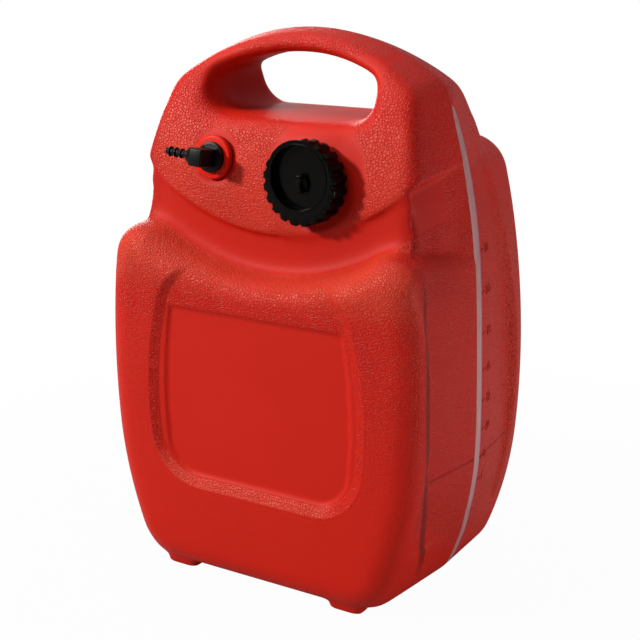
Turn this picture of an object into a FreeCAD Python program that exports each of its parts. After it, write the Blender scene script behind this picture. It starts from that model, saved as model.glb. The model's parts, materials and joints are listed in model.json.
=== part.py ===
import FreeCAD, Part
import math
import os

import Sketcher
from FreeCAD import Placement, Rotation, Vector

# A portable blow-moulded fuel tank. X runs to the right, Y to the back and Z up, in millimetres.
# The origin is on the floor, in the middle of the tank's footprint, in the mould's parting plane.
# The cap and the outlet point along -Y, the way the front half of the mould opens.

SIZES = [
    # The whole tank
    ("tank_height", 498.0, "floor to the top of the handle"),
    ("half_depth", 107.5, "parting plane to the front or back face"),
    ("wall", 3.2, "thickness of the moulded wall"),
    ("base_height", 7.5, "underside of the tank above the floor"),
    ("base_tuck", 8.0, "how far the flanks' and faces' roundings would run below the base"),
    # The outline in the parting plane, from the top down, as tangent arcs
    ("arch_radius", 215.0, "arch over the handle"),
    ("arch_end", 34.0, "direction in degrees where the arch ends, 0 level, 90 down"),
    ("shoulder_radius", 36.0, "arch to flank"),
    ("shoulder_end", 69.7, "direction where the shoulder ends"),
    ("upper_flank_radius", 650.0, "flank beside the cap"),
    ("upper_flank_end", 81.5, "direction where the upper flank ends"),
    ("middle_flank_end", 94.5, "direction where the widest stretch ends"),
    ("lower_flank_radius", 366.0, "flank above the heel"),
    ("lower_flank_end", 112.0, "direction where the lower flank ends"),
    ("heel_radius", 52.0, "flank to underside, from the parting plane to the back"),
    ("front_heel_radius", 62.0, "the same at the front"),
    # The lower front and the back, which stand out from the mould's middle
    ("pillar_draft", 12.0, "inset of the front pillars at the full depth"),
    ("back_draft", 10.0, "inset of the back pillars at the full depth"),
    ("corner_radius", 27.0, "rounding round the front and back faces"),
    ("lap_height", 288.0, "lowest point of the front shoulder's curved top"),
    ("lap_radius", 215.5, "radius of that curve"),
    ("lap_corner", 32.0, "its rounding into the flank"),
    ("back_top", 403.0, "top of the part that stands out at the back"),
    ("back_corner", 38.0, "its rounding into the flank"),
    # The smooth collar and the grained head above it
    ("collar_depth", 68.5, "parting plane to the collar's face"),
    ("collar_draft", 23.0, "inset of the collar at its face"),
    ("brow_height", 324.0, "lowest point of the head's curved lower edge"),
    ("brow_radius", 203.0, "radius of that edge"),
    ("head_depth", 73.5, "parting plane to the head's face at its lower edge"),
    ("lean_start", 330.0, "height where the head's face starts to lean back"),
    ("lean_radius", 281.0, "radius of its lean"),
    ("head_draft", 14.0, "inset of the head at its face"),
    ("head_edge", 13.0, "rounding round the head's face"),
    # The opening of the handle
    ("bar_thickness", 21.0, "thickness of the handle's bar"),
    ("grip_half_width", 85.0, "half the opening's width"),
    ("grip_floor", 422.5, "bottom of the opening"),
    ("grip_low_corner", 20.0, "rounding of its bottom corners"),
    ("grip_high_corner", 16.0, "rounding of its top corners"),
    ("grip_lip", 7.0, "rounding of its lips"),
    # The panels
    ("panel_sink", 4.5, "depth of the front panel inside its raised border"),
    ("panel_half_width", 115.0, "half its width at the widest"),
    ("panel_floor", 87.0, "its bottom edge"),
    ("panel_corner", 52.0, "its bottom corners"),
    ("panel_side_radius", 320.0, "bow of its sides"),
    ("panel_widest", 172.0, "height where it is widest"),
    ("label_sink", 2.0, "depth of the smooth label recess in the panel"),
    ("label_half_width", 99.0, "half the recess's width at the widest"),
    ("label_top", 255.7, "its top edge"),
    ("label_floor", 98.0, "its bottom edge"),
    ("label_corner", 34.0, "its bottom corners"),
    ("label_side_radius", 420.0, "bow of its sides"),
    ("flank_sink", 3.4, "depth of the flank panel behind the pillar's crease"),
    ("flank_start", 9.0, "parting plane to where the flank starts to sink"),
    ("flank_front", 81.0, "parting plane to the front crease at its middle"),
    ("flank_bow", 27.0, "how far the front crease runs forwards at its ends"),
    ("flank_top", 322.0, "top of the front crease"),
    ("flank_floor", 62.0, "bottom of the creases"),
    ("flank_back", 74.0, "parting plane to the back crease at its lower middle"),
    ("flank_back_top", 34.0, "parting plane to the back crease's top end"),
    ("flank_back_height", 385.0, "height of the back crease's top end"),
    ("flank_back_floor", 66.0, "parting plane to the back crease's bottom end"),
    # The feet
    ("foot_length", 34.0, "foot pad along X"),
    ("foot_width", 20.0, "foot pad along Y"),
    ("foot_x", 90.0, "middle of a foot from the middle of the tank"),
    ("foot_y", 89.0, "middle of a foot from the parting plane"),
    ("foot_corner", 5.0, "rounding of a foot"),
    # The level strip
    ("strip_width", 8.8, "width of the translucent strip"),
    ("strip_top", 438.0, "its pointed top end"),
    ("strip_taper", 46.0, "length of its point"),
    ("strip_floor", 22.0, "its lower end"),
    # The filler neck, on an axis along Y
    ("neck_x", 39.6, "axis of the neck and cap"),
    ("neck_z", 375.2, "height of that axis"),
    ("seat_radius", 42.0, "smooth round seat round the neck"),
    ("seat_depth", 67.4, "parting plane to the seat's face"),
    ("neck_bore", 26.4, "inner radius of the neck"),
    ("neck_radius", 29.4, "outer radius of the neck between its threads"),
    ("neck_length", 11.1, "seat to the neck's lip"),
    ("thread_height", 1.6, "how far a thread stands out"),
    ("thread_pitch", 4.0, "rise of the thread in one turn"),
    ("thread_root", 1.7, "width of a thread at its foot"),
    ("thread_crest", 0.9, "width of a thread at its crest"),
    ("thread_turns", 1.25, "turns of thread on the neck and in the cap"),
    ("thread_gap", 0.4, "clearance between the two threads"),
    # The cap
    ("cap_radius", 36.0, "outer radius over the lobes"),
    ("cap_lobes", 20.0, "number of lobes"),
    ("flute_radius", 3.1, "radius of the flutes between the lobes"),
    ("flute_sink", 1.7, "depth of the flutes"),
    ("cap_height", 20.4, "skirt's edge to the front face"),
    ("cap_lift", 2.1, "skirt's edge above the seat"),
    ("cap_bevel", 1.2, "bevel round the front face"),
    ("gasket_thickness", 2.0, "flat gasket under the cap"),
    ("dish_radius", 27.5, "dish in the cap's face"),
    ("dish_shift", 5.4, "how far the dish's middle lies above the cap's axis"),
    ("dish_depth", 7.0, "depth of the dish"),
    # The vent in the cap
    ("vent_knob_radius", 6.5, "knob of the vent screw"),
    ("vent_knob_height", 5.4, "height of the knob"),
    ("knob_flutes", 12.0, "number of flutes round the knob"),
    ("knob_flute_radius", 0.8, "radius of those flutes"),
    ("vent_stem_radius", 3.0, "stem of the vent screw"),
    ("vent_gap", 0.3, "clearance round the stem"),
    ("vent_seal_section", 1.2, "thickness of the vent's O-ring"),
    ("vent_pitch", 1.5, "rise of the vent screw in one turn"),
    ("vent_turns", 2.0, "turns of the vent screw up to its clip"),
    ("clip_thickness", 1.2, "thickness of a retaining ring"),
    ("clip_rim", 2.0, "how far the vent's clip stands out from its stem"),
    ("baffle_radius", 20.0, "splash baffle"),
    ("baffle_thickness", 1.6, "its thickness"),
    ("baffle_drop", 8.0, "gap between the cap's floor and the baffle"),
    ("baffle_hole_radius", 2.2, "holes in the baffle"),
    ("baffle_hole_circle", 12.0, "radius of their circle"),
    ("baffle_hole_count", 6.0, "number of holes"),
    ("baffle_ring", 1.8, "thickness of the ring that holds the baffle"),
    # The outlet, on an axis that points a little up, square to the head's face
    ("outlet_x", -62.5, "axis of the outlet"),
    ("outlet_z", 386.5, "height of that axis at the pocket's floor"),
    ("outlet_tilt", 7.0, "how far that axis points up, in degrees"),
    ("pocket_radius", 22.0, "pocket round the outlet's bush"),
    ("pocket_depth", 66.0, "parting plane to the pocket's floor"),
    ("bush_radius", 19.3, "flange of the bush"),
    ("bush_flange", 4.6, "thickness of that flange"),
    ("bush_sleeve", 13.5, "sleeve of the bush in the tank's wall"),
    ("bush_sleeve_length", 17.0, "length of the sleeve"),
    ("bush_bore", 7.6, "bore that holds the elbow's stem"),
    ("bush_bore_depth", 15.0, "depth of that bore from the flange's face"),
    ("bush_bevel", 1.2, "bevel of its flange"),
    ("bush_gap", 0.3, "clearance between the sleeve and the wall"),
    ("spigot_radius", 5.0, "inner spigot for the pickup tube"),
    ("spigot_length", 14.0, "length of the spigot"),
    ("fuel_bore", 2.6, "bore that the fuel runs through"),
    ("outlet_gasket_thickness", 1.4, "flat gasket under the bush"),
    # The elbow
    ("elbow_turn", 4.5, "how far the hose tail is turned up from level, in degrees"),
    ("elbow_gap", 0.3, "clearance under the elbow's flange"),
    ("stem_gap", 0.08, "running clearance of the stem in its bore"),
    ("elbow_flange_radius", 13.6, "round flange of the elbow"),
    ("elbow_flange", 3.0, "thickness of that flange"),
    ("block_width", 13.8, "square body of the elbow across X"),
    ("block_height", 15.4, "the same across Z"),
    ("block_length", 22.0, "the same along Y"),
    ("block_edge", 1.6, "bevel of its edges"),
    ("stem_length", 13.6, "stem of the elbow below its flange"),
    ("tail_axis", 11.5, "axis of the hose tail above the elbow's flange"),
    ("tail_collar_radius", 7.2, "collar at the foot of the hose tail"),
    ("tail_collar_length", 6.0, "length of that collar"),
    ("tail_length", 25.0, "hose tail beyond the collar"),
    ("barb_radius", 4.4, "crest of the barbs"),
    ("barb_root", 3.2, "hose tail between its barbs"),
    ("barb_count", 4.0, "number of barbs"),
    ("barb_land", 1.2, "flat crest of a barb"),
    ("tail_bore", 2.1, "bore of the hose tail"),
    ("o_ring_section", 1.5, "section of the elbow's O-ring"),
    ("o_ring_place", 5.0, "flange's face to the O-ring's middle"),
    ("clip_place", 10.0, "flange's face to the middle of the elbow's clip"),
    ("clip_slit", 3.0, "gap in the elbow's clip"),
    ("groove_gap", 0.1, "clearance of a ring in its groove"),
    # The pickup inside the tank
    ("tube_radius", 6.9, "outer radius of the pickup tube"),
    ("tube_wall", 1.8, "wall of the pickup tube"),
    ("tube_bend", 22.0, "bend of the pickup tube"),
    ("tube_run", 6.0, "straight run between the spigot's end and the bend"),
    ("tube_gap", 0.5, "gap between the tube's ends and what they stand against"),
    ("tube_fit", 0.1, "clearance of the tube on its spigots"),
    ("band_thickness", 0.8, "ear clip's band"),
    ("band_width", 7.0, "ear clip's width"),
    ("band_place", 3.0, "tube's end to the ear clip"),
    ("ear_length", 5.0, "ear across the clip"),
    ("ear_height", 3.0, "how far the ear stands out"),
    ("strainer_radius", 10.5, "outer radius of the strainer's cage"),
    ("strainer_height", 30.0, "height of the cage"),
    ("strainer_wall", 1.6, "wall of the cage"),
    ("strainer_neck", 10.0, "neck of the cage in the tube"),
    ("strainer_slots", 8.0, "number of slots"),
    ("slot_width", 4.2, "width of a slot"),
    ("slot_height", 16.0, "height of a slot"),
    ("mesh_thickness", 0.6, "thickness of the gauze sleeve"),
    ("strainer_gap", 0.3, "clearance of the strainer above the tank's floor"),
]

doc = FreeCAD.newDocument("fuel_tank")
sheet = doc.addObject("Spreadsheet::Sheet", "sizes")
for row, (alias, value, meaning) in enumerate(SIZES, start=1):
    sheet.set("A%d" % row, alias)
    sheet.set("B%d" % row, repr(value))
    sheet.set("C%d" % row, meaning)
    sheet.setAlias("B%d" % row, alias)
doc.recompute()


class Size:
    """A length from the sheet, or a sum of such lengths, with the text that binds a feature to it."""

    def __init__(self, value, text):
        self.value = float(value)
        self.text = text

    @staticmethod
    def of(other):
        return other if isinstance(other, Size) else Size(other, repr(float(other)))

    def __float__(self):
        return self.value

    def __add__(self, other):
        other = Size.of(other)
        return Size(self.value + other.value, "(%s + %s)" % (self.text, other.text))

    def __sub__(self, other):
        other = Size.of(other)
        return Size(self.value - other.value, "(%s - %s)" % (self.text, other.text))

    def __mul__(self, other):
        other = Size.of(other)
        return Size(self.value * other.value, "(%s * %s)" % (self.text, other.text))

    def __truediv__(self, other):
        other = Size.of(other)
        return Size(self.value / other.value, "(%s / %s)" % (self.text, other.text))

    def __neg__(self):
        return Size(-self.value, "(0 - %s)" % self.text)

    __radd__ = __add__

    def __rsub__(self, other):
        return Size.of(other) - self


def cosine(angle):
    """The cosine of a size in degrees, also as text."""
    return Size(math.cos(math.radians(angle.value)), "cos(%s)" % angle.text)


def sine(angle):
    return Size(math.sin(math.radians(angle.value)), "sin(%s)" % angle.text)


class Sizes:
    """The sheet's cells by their names."""

    def __getattr__(self, alias):
        return Size(sheet.get(alias), "sizes." + alias)


s = Sizes()


def num(size):
    return float(size)


def whole(size):
    return int(round(float(size)))


# The moulded body: outlines in planes across Y, joined by ruled lofts


def flank_arcs(inset, t, y):
    """Radius, first and last direction of each arc of the outline's right half, from the top down.

    The widest arc's radius is worked out, so that the outline ends just under the base.
    """
    ends = [0.0, num(s.arch_end), num(s.shoulder_end), num(s.upper_flank_end),
            num(s.middle_flank_end), num(s.lower_flank_end), 180.0]
    heel = s.front_heel_radius if y < 0 else s.heel_radius
    radii = [num(r) - inset for r in (s.arch_radius, s.shoulder_radius, s.upper_flank_radius,
                                      s.lower_flank_radius, heel)]
    drops = [math.cos(math.radians(a)) - math.cos(math.radians(b)) for a, b in zip(ends, ends[1:])]
    middle = drops.pop(3)
    taken = sum(r * d for r, d in zip(radii, drops))
    bottom = num(s.base_height) - num(s.base_tuck) + t
    radii.insert(3, (num(s.tank_height) - inset - bottom - taken) / middle)
    return list(zip(radii, ends, ends[1:]))


# Anything this far out is outside the tank, so cutters run to here
BEYOND = 2 * num(s.tank_height)
# How far solids that are joined run into each other, and how near a point lies to what it is on
OVERLAP = num(s.wall)
NEAR = 1e-3


def outline(inset, t, y):
    """The tank's outline in the plane y, moved in by inset, but by t at the bottom."""
    x, z = 0.0, num(s.tank_height) - inset
    right = []
    for r, first, last in flank_arcs(inset, t, y):
        cx = x - r * math.sin(math.radians(first))
        cz = z - r * math.cos(math.radians(first))
        mid = math.radians((first + last) / 2)
        end = math.radians(last)
        via = (cx + r * math.sin(mid), cz + r * math.cos(mid))
        stop = (cx + r * math.sin(end), cz + r * math.cos(end))
        right.append(((x, z), via, stop))
        x, z = stop
    edges = [Part.Arc(*[Vector(p[0], y, p[1]) for p in arc]).toShape() for arc in right]
    edges.append(Part.makeLine(Vector(x, y, z), Vector(-x, y, z)))
    for arc in reversed(right):
        edges.append(Part.Arc(*[Vector(-p[0], y, p[1]) for p in reversed(arc)]).toShape())
    return Part.Wire(edges)


def drafted(t, draft, y, proud=0.0):
    """The outline's space from the parting plane to the plane y, drawn in by draft there."""
    wires = [outline(t - proud, t, 0.0), outline(t - proud + draft, t, y)]
    return Part.makeLoft(wires, True, True)


def along_y(radius, x, z, y0, y1):
    return Part.makeCylinder(radius, abs(y1 - y0), Vector(x, min(y0, y1), z), Vector(0, 1, 0))


def block(x0, y0, z0, x1, y1, z1):
    return Part.makeBox(x1 - x0, y1 - y0, z1 - z0, Vector(x0, y0, z0))


def sampled(edge, count=5):
    return edge.discretize(Number=count)


def edges_where(shape, test):
    """The edges whose every sampled point passes the test."""
    return [e for e in shape.Edges if all(test(p) for p in sampled(e))]


def runs_in_depth(edges):
    """Those edges that run from front to back rather than across."""
    found = []
    for edge in edges:
        depths = [p.y for p in sampled(edge)]
        if max(depths) - min(depths) > num(s.wall):
            found.append(edge)
    return found


def on_circle(x, z, radius):
    """Test for points on a cylinder along Y."""
    return lambda p: abs(math.hypot(p.x - x, p.z - z) - radius) < NEAR


def at_depth(y):
    return lambda p: abs(p.y - y) < NEAR


def front_bulge(t):
    """The lower front, up to the curved shoulder. t is 0 outside and the wall inside."""
    face = -(num(s.half_depth) - t)
    centre = num(s.lap_height) + num(s.lap_radius)
    radius = num(s.lap_radius) + t
    shape = drafted(t, num(s.pillar_draft), face)
    shape = shape.cut(along_y(radius, 0, centre, -BEYOND, OVERLAP))
    corners = runs_in_depth(edges_where(shape, on_circle(0, centre, radius)))
    shape = shape.makeFillet(num(s.lap_corner) - t, corners)
    return shape.makeFillet(num(s.corner_radius) - t, edges_where(shape, at_depth(face)))


def back_bulge(t):
    """The part that stands out behind, with a flat top."""
    face = num(s.half_depth) - t
    top = num(s.back_top) - t
    shape = drafted(t, num(s.back_draft), face)
    shape = shape.cut(block(-BEYOND, -OVERLAP, top, BEYOND, BEYOND, BEYOND))
    corners = runs_in_depth(edges_where(shape, lambda p: abs(p.z - top) < NEAR))
    shape = shape.makeFillet(num(s.back_corner) - t, corners)
    return shape.makeFillet(num(s.corner_radius) - t, edges_where(shape, at_depth(face)))


def brow_centre():
    return num(s.brow_height) + num(s.brow_radius)


def collar(t):
    """The smooth face between the front shoulder and the head's curved lower edge."""
    shape = drafted(t, num(s.collar_draft), -(num(s.collar_depth) - t))
    shape = shape.cut(along_y(num(s.brow_radius) - t - OVERLAP, 0, brow_centre(),
                              -BEYOND, OVERLAP))
    low = num(s.lap_height) / 2
    return shape.common(block(-BEYOND, -BEYOND, low, BEYOND, OVERLAP, brow_centre()))


def lean_axis(side):
    """Y and Z of the axis of the cylinder that the head's face lies on."""
    return side * (num(s.head_depth) - num(s.lean_radius)), num(s.lean_start)


def on_lean(t, side):
    """Test for points on the head's face, which is a cylinder along X."""
    y, z = lean_axis(side)
    radius = num(s.lean_radius) - t
    return lambda p: abs(math.hypot(p.y - y, p.z - z) - radius) < NEAR and p.z > z + NEAR


def half_head(t, side):
    """The head on one side of the parting plane: side is -1 in front and 1 behind."""
    depth = num(s.head_depth) - t
    y, z = lean_axis(side)
    shape = drafted(t, num(s.head_draft), side * num(s.head_depth))
    lean = Part.makeCylinder(num(s.lean_radius) - t, 2 * BEYOND, Vector(-BEYOND, y, z),
                             Vector(1, 0, 0))
    ends = sorted((-side * OVERLAP, side * depth))
    under = block(-BEYOND, ends[0], z / 2, BEYOND, ends[1], z)
    shape = shape.common(lean.fuse(under))
    brow = num(s.brow_radius) - t
    if side < 0:
        shape = shape.common(along_y(brow, 0, brow_centre(), -BEYOND, OVERLAP))
    else:
        shape = shape.common(block(-BEYOND, -OVERLAP, z, BEYOND, BEYOND, BEYOND))
    face = on_lean(t, side)
    edge_of_brow = on_circle(0, brow_centre(), brow)
    rims = [e for e in edges_where(shape, face)
            if not all(edge_of_brow(p) for p in sampled(e))]
    return shape.makeFillet(num(s.head_edge) - t, rims)


def grip(t):
    """The opening of the handle, as a solid that runs past both faces. t makes it larger."""
    arch = num(s.arch_radius) - num(s.bar_thickness) + t
    centre = num(s.tank_height) - num(s.arch_radius)
    half = num(s.grip_half_width) + t
    floor = num(s.grip_floor) - t
    reach = num(s.head_depth)
    shape = block(-half, -reach, floor, half, reach, num(s.tank_height))
    shape = shape.common(along_y(arch, 0, centre, -reach, reach))
    low = runs_in_depth(edges_where(shape, lambda p: abs(p.z - floor) < NEAR))
    shape = shape.makeFillet(num(s.grip_low_corner) + t, low)
    on_arch = on_circle(0, centre, arch)
    high = runs_in_depth(edges_where(shape, lambda p: on_arch(p) and abs(abs(p.x) - half) < NEAR))
    return shape.makeFillet(num(s.grip_high_corner) + t, high)


def head(t):
    """Both halves of the head with the handle's opening, whose lips are round."""
    opening = grip(t)
    shape = half_head(t, -1).fuse(half_head(t, 1)).cut(opening)
    inside = Part.makeShell(opening.Faces)
    lips = []
    for side in (-1, 1):
        for edge in edges_where(shape, on_lean(t, side)):
            if all(Part.Vertex(p).distToShape(inside)[0] < NEAR for p in sampled(edge, 3)):
                lips.append(edge)
    return shape.makeFillet(num(s.grip_lip) - t, lips)


def bowed_panel(half_width, floor, top, corner, side_radius, y0, y1):
    """A space with bowed sides, a straight bottom and round bottom corners, from y0 to y1."""
    shape = block(-half_width, y0, floor, half_width, y1, top)
    for side in (-1, 1):
        x = side * (half_width - side_radius)
        shape = shape.common(along_y(side_radius, x, num(s.panel_widest), y0, y1))
    corners = runs_in_depth(edges_where(shape, lambda p: abs(p.z - floor) < NEAR))
    return shape.makeFillet(corner, corners)


def front_panels(t):
    """The sunk front panel and the label recess in it, as cutters. t moves them inwards."""
    panel = -(num(s.half_depth) - num(s.panel_sink) - t)
    label = panel + num(s.label_sink)
    front = -num(s.half_depth) - num(s.corner_radius)
    wide = bowed_panel(num(s.panel_half_width) + t, num(s.panel_floor) - t,
                       num(s.lap_height) + num(s.lap_radius) / 4, num(s.panel_corner) + t,
                       num(s.panel_side_radius), front, panel)
    small = bowed_panel(num(s.label_half_width) + t, num(s.label_floor) - t,
                        num(s.label_top) + t, num(s.label_corner) + t,
                        num(s.label_side_radius), front, label)
    return wide.fuse(small)


def back_panel(t):
    panel = num(s.half_depth) - num(s.panel_sink) - t
    return bowed_panel(num(s.panel_half_width) + t, num(s.panel_floor) - t,
                       num(s.back_top) - num(s.back_corner) + t, num(s.panel_corner) + t,
                       2 * num(s.panel_side_radius), panel, num(s.half_depth) + num(s.corner_radius))


def flank_panels(t):
    """What the sunk flank panels take away between their front and back creases."""
    low = num(s.flank_floor)
    high = num(s.flank_top)
    middle = num(s.panel_widest)
    front = -num(s.flank_front)
    ahead = front - num(s.flank_bow)
    back = [Vector(0, num(s.flank_back_floor), low), Vector(0, num(s.flank_back), middle),
            Vector(0, num(s.flank_back_top), num(s.flank_back_height))]
    lead = [Vector(0, ahead, high), Vector(0, front, (low + high) / 2), Vector(0, ahead, low)]
    wire = Part.Wire([
        Part.Arc(*lead).toShape(), Part.makeLine(lead[2], back[0]),
        Part.Arc(*back).toShape(), Part.makeLine(back[2], lead[0]),
    ])
    slab = Part.Face(wire).extrude(Vector(2 * BEYOND, 0, 0))
    slab.translate(Vector(-BEYOND, 0, 0))
    depth = num(s.half_depth)
    rate = num(s.flank_sink) / (num(s.flank_front) - num(s.flank_start))
    proud = rate * num(s.flank_start)
    ahead_of = drafted(t, num(s.pillar_draft) + rate * depth, -depth, proud)
    behind = drafted(t, num(s.back_draft) + rate * depth, depth, proud)
    return slab.cut(ahead_of.fuse(behind))


def body(t):
    """The outside of the tank without its neck and feet, or with t the inside of its wall."""
    shape = front_bulge(t).fuse(back_bulge(t)).fuse(collar(t)).fuse(head(t))
    base = num(s.base_height) + t
    under = block(-BEYOND, -BEYOND, -BEYOND, BEYOND, BEYOND, base)
    for cutter in (front_panels(t), back_panel(t), flank_panels(t), under):
        shape = shape.cut(cutter)
    return shape


NECK = (num(s.neck_x), num(s.neck_z))
OUTLET = (num(s.outlet_x), num(s.outlet_z))


def seat(radius, frame, sink):
    """A round flat seat on the head's leaning face: what it adds, and what it takes away."""
    add = Part.makeCylinder(radius, num(s.seat_depth) / 2, Vector(0, 0, -sink), Vector(0, 0, -1))
    take = Part.makeCylinder(radius, BEYOND, Vector(0, 0, -sink))
    add.Placement = frame
    take.Placement = frame
    return add, take


def bore(radius, frame):
    """A round cutter through the wall at a seat."""
    cutter = Part.makeCylinder(radius, BEYOND, Vector(0, 0, -num(s.seat_depth) / 2))
    cutter.Placement = frame
    return cutter


def feet():
    """Four pads with round corners that reach up into the tank's drafted underside."""
    pads = []
    half_x = num(s.foot_length) / 2
    half_y = num(s.foot_width) / 2
    top = num(s.base_height) + num(s.wall)
    for side_x in (-1, 1):
        for side_y in (-1, 1):
            x = side_x * num(s.foot_x)
            y = side_y * num(s.foot_y)
            pad = block(x - half_x, y - half_y, 0, x + half_x, y + half_y, top)
            upright = [e for e in pad.Edges if e.BoundBox.ZLength > top / 2]
            pads.append(pad.makeFillet(num(s.foot_corner), upright))
    return pads


def thread(root, crest, first):
    """A helical ridge round +Z from the radius root to the radius crest, from the height first."""
    sunk = root - math.copysign(num(s.thread_height) / 4, crest - root)
    pitch = num(s.thread_pitch)
    helix = Part.makeHelix(pitch, pitch * num(s.thread_turns), root)
    helix.translate(Vector(0, 0, first))
    foot = num(s.thread_root) / 2
    top = num(s.thread_crest) / 2
    corners = [Vector(sunk, 0, first - foot), Vector(crest, 0, first - top),
               Vector(crest, 0, first + top), Vector(sunk, 0, first + foot)]
    profile = Part.makePolygon(corners + corners[:1])
    return Part.Wire(helix.Edges).makePipeShell([profile], True, True)


def facing(axis, depth, tilt=0.0):
    """The frame of a piece on the head: its own +Z points out along -Y, and up by tilt degrees."""
    return Placement(Vector(axis[0], -depth, axis[1]), Rotation(Vector(1, 0, 0), 90 - tilt))


def raised(frame, height, turn=0.0):
    """A frame moved along its own Z, and turned round it by some degrees."""
    step = Placement(Vector(0, 0, num(height)), Rotation(Vector(0, 0, 1), turn))
    return frame.multiply(step)


NECK_FRAME = facing(NECK, num(s.seat_depth))
CAP_FRAME = facing(NECK, num(s.seat_depth) + num(s.cap_lift))
OUTLET_FRAME = facing(OUTLET, num(s.pocket_depth), num(s.outlet_tilt))
# Heights where the first turn of each thread starts, in the neck's frame and in the cap's
NECK_THREAD = num(s.cap_lift) + num(s.thread_root) / 2
CAP_THREAD = num(s.thread_root) / 2 + num(s.thread_pitch) / 2


def strip_slab():
    """The band across the parting plane that the level strip takes out of the right flank."""
    half = num(s.strip_width) / 2
    low = num(s.strip_floor)
    high = num(s.strip_top)
    straight = high - num(s.strip_taper)
    start = num(s.grip_half_width) + 4 * num(s.wall)
    points = [(-half, low), (half, low), (half, straight), (0, high), (-half, straight)]
    corners = [Vector(start, y, z) for y, z in points]
    face = Part.Face(Part.makePolygon(corners + corners[:1]))
    return face.extrude(Vector(BEYOND, 0, 0))


def make_tank():
    """The shell and the strip that is moulded into its right flank."""
    wall = num(s.wall)
    outside = body(0.0)
    inside = body(wall)
    for radius, frame in ((num(s.seat_radius), NECK_FRAME), (num(s.pocket_radius), OUTLET_FRAME)):
        add, take = seat(radius, frame, 0.0)
        outside = outside.fuse(add).cut(take)
        add, take = seat(radius + wall, frame, wall)
        inside = inside.cut(take)
    neck = Part.makeCylinder(num(s.neck_radius), num(s.neck_length) + wall, Vector(0, 0, -wall))
    ridge = thread(num(s.neck_radius), num(s.neck_radius) + num(s.thread_height), NECK_THREAD)
    neck = neck.fuse(ridge)
    neck.Placement = NECK_FRAME
    shell = outside.fuse(feet() + [neck]).cut(inside)
    shell = shell.cut(bore(num(s.neck_bore), NECK_FRAME))
    shell = shell.cut(bore(num(s.bush_sleeve) + num(s.bush_gap), OUTLET_FRAME))
    slab = strip_slab()
    return shell.cut(slab), shell.common(slab)


# Small parts are bodies with sketches and features, each in a frame of its own


def origin_plane(part_body, role):
    return [f for f in part_body.Origin.OriginFeatures if f.Role == role][0]


def new_body(name):
    part_body = doc.addObject("PartDesign::Body", name)
    part_body.Label = name
    return part_body


def new_sketch(part_body, name, role, across=0.0, up=0.0, out=0.0):
    """A sketch in a plane of the body's origin, moved by bound lengths along its own axes."""
    sketch = part_body.newObject("Sketcher::SketchObject", name)
    sketch.AttachmentSupport = (origin_plane(part_body, role), [""])
    sketch.MapMode = "FlatFace"
    for axis, size in (("x", across), ("y", up), ("z", out)):
        if num(size):
            sketch.setExpression("AttachmentOffset.Base." + axis, Size.of(size).text)
    return sketch


def bind(sketch, kind, size, *where):
    """A dimension of a sketch, bound to the sheet."""
    index = sketch.addConstraint(Sketcher.Constraint(kind, *where, num(size)))
    sketch.setExpression("Constraints[%d]" % index, Size.of(size).text)


def draw_lines(sketch, points):
    """A closed run of lines through points, joined at their ends."""
    count = len(points)
    for i in range(count):
        (x0, y0), (x1, y1) = points[i], points[(i + 1) % count]
        sketch.addGeometry(Part.LineSegment(Vector(x0, y0, 0), Vector(x1, y1, 0)))
    for i in range(count):
        sketch.addConstraint(Sketcher.Constraint("Coincident", (i - 1) % count, 2, i, 1))


def bound_polygon(sketch, corners):
    """A closed outline whose corners, all in x, y >= 0, are bound to the sheet."""
    points = [(Size.of(x), Size.of(y)) for x, y in corners]
    draw_lines(sketch, [(num(x), num(y)) for x, y in points])
    for i, (x, y) in enumerate(points):
        for kind, size, axis in (("DistanceX", x, -2), ("DistanceY", y, -1)):
            if abs(num(size)) < NEAR:
                sketch.addConstraint(Sketcher.Constraint("PointOnObject", i, 1, axis))
            else:
                bind(sketch, kind, size, -1, 1, i, 1)


def centred_rectangle(sketch, width, height):
    """A rectangle round the sketch's origin."""
    x, y = num(width) / 2, num(height) / 2
    draw_lines(sketch, [(-x, -y), (x, -y), (x, y), (-x, y)])
    for line in (0, 2):
        sketch.addConstraint(Sketcher.Constraint("Horizontal", line))
    for line in (1, 3):
        sketch.addConstraint(Sketcher.Constraint("Vertical", line))
    sketch.addConstraint(Sketcher.Constraint("Symmetric", 0, 1, 2, 1, -1, 1))
    bind(sketch, "DistanceX", width, 0, 1, 0, 2)
    bind(sketch, "DistanceY", height, 1, 1, 1, 2)


def circle(sketch, radius, x=0.0):
    """A circle whose centre lies on the sketch's horizontal axis."""
    index = sketch.addGeometry(Part.Circle(Vector(num(x), 0, 0), Vector(0, 0, 1), num(radius)))
    if num(x):
        bind(sketch, "DistanceX", x, -1, 1, index, 3)
        sketch.addConstraint(Sketcher.Constraint("PointOnObject", index, 3, -1))
    else:
        sketch.addConstraint(Sketcher.Constraint("Coincident", index, 3, -1, 1))
    bind(sketch, "Radius", radius, index)


def feature(part_body, kind, name, sketch):
    made = part_body.newObject("PartDesign::" + kind, name)
    made.Profile = sketch
    part_body.Tip = made
    return made


def turned(part_body, name, corners, kind="Revolution"):
    """A revolution, or a groove, of a bound outline of radius and height round the body's Z."""
    sketch = new_sketch(part_body, name + "_outline", "XZ_Plane")
    bound_polygon(sketch, corners)
    made = feature(part_body, kind, name, sketch)
    made.ReferenceAxis = (sketch, ["V_Axis"])
    made.Angle = 360.0
    return made


def raise_pad(part_body, name, sketch, length):
    made = feature(part_body, "Pad", name, sketch)
    made.setExpression("Length", Size.of(length).text)
    return made


def cut_pocket(part_body, name, sketch, length, reversed_way=False):
    made = feature(part_body, "Pocket", name, sketch)
    made.setExpression("Length", Size.of(length).text)
    made.Reversed = reversed_way
    return made


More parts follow.
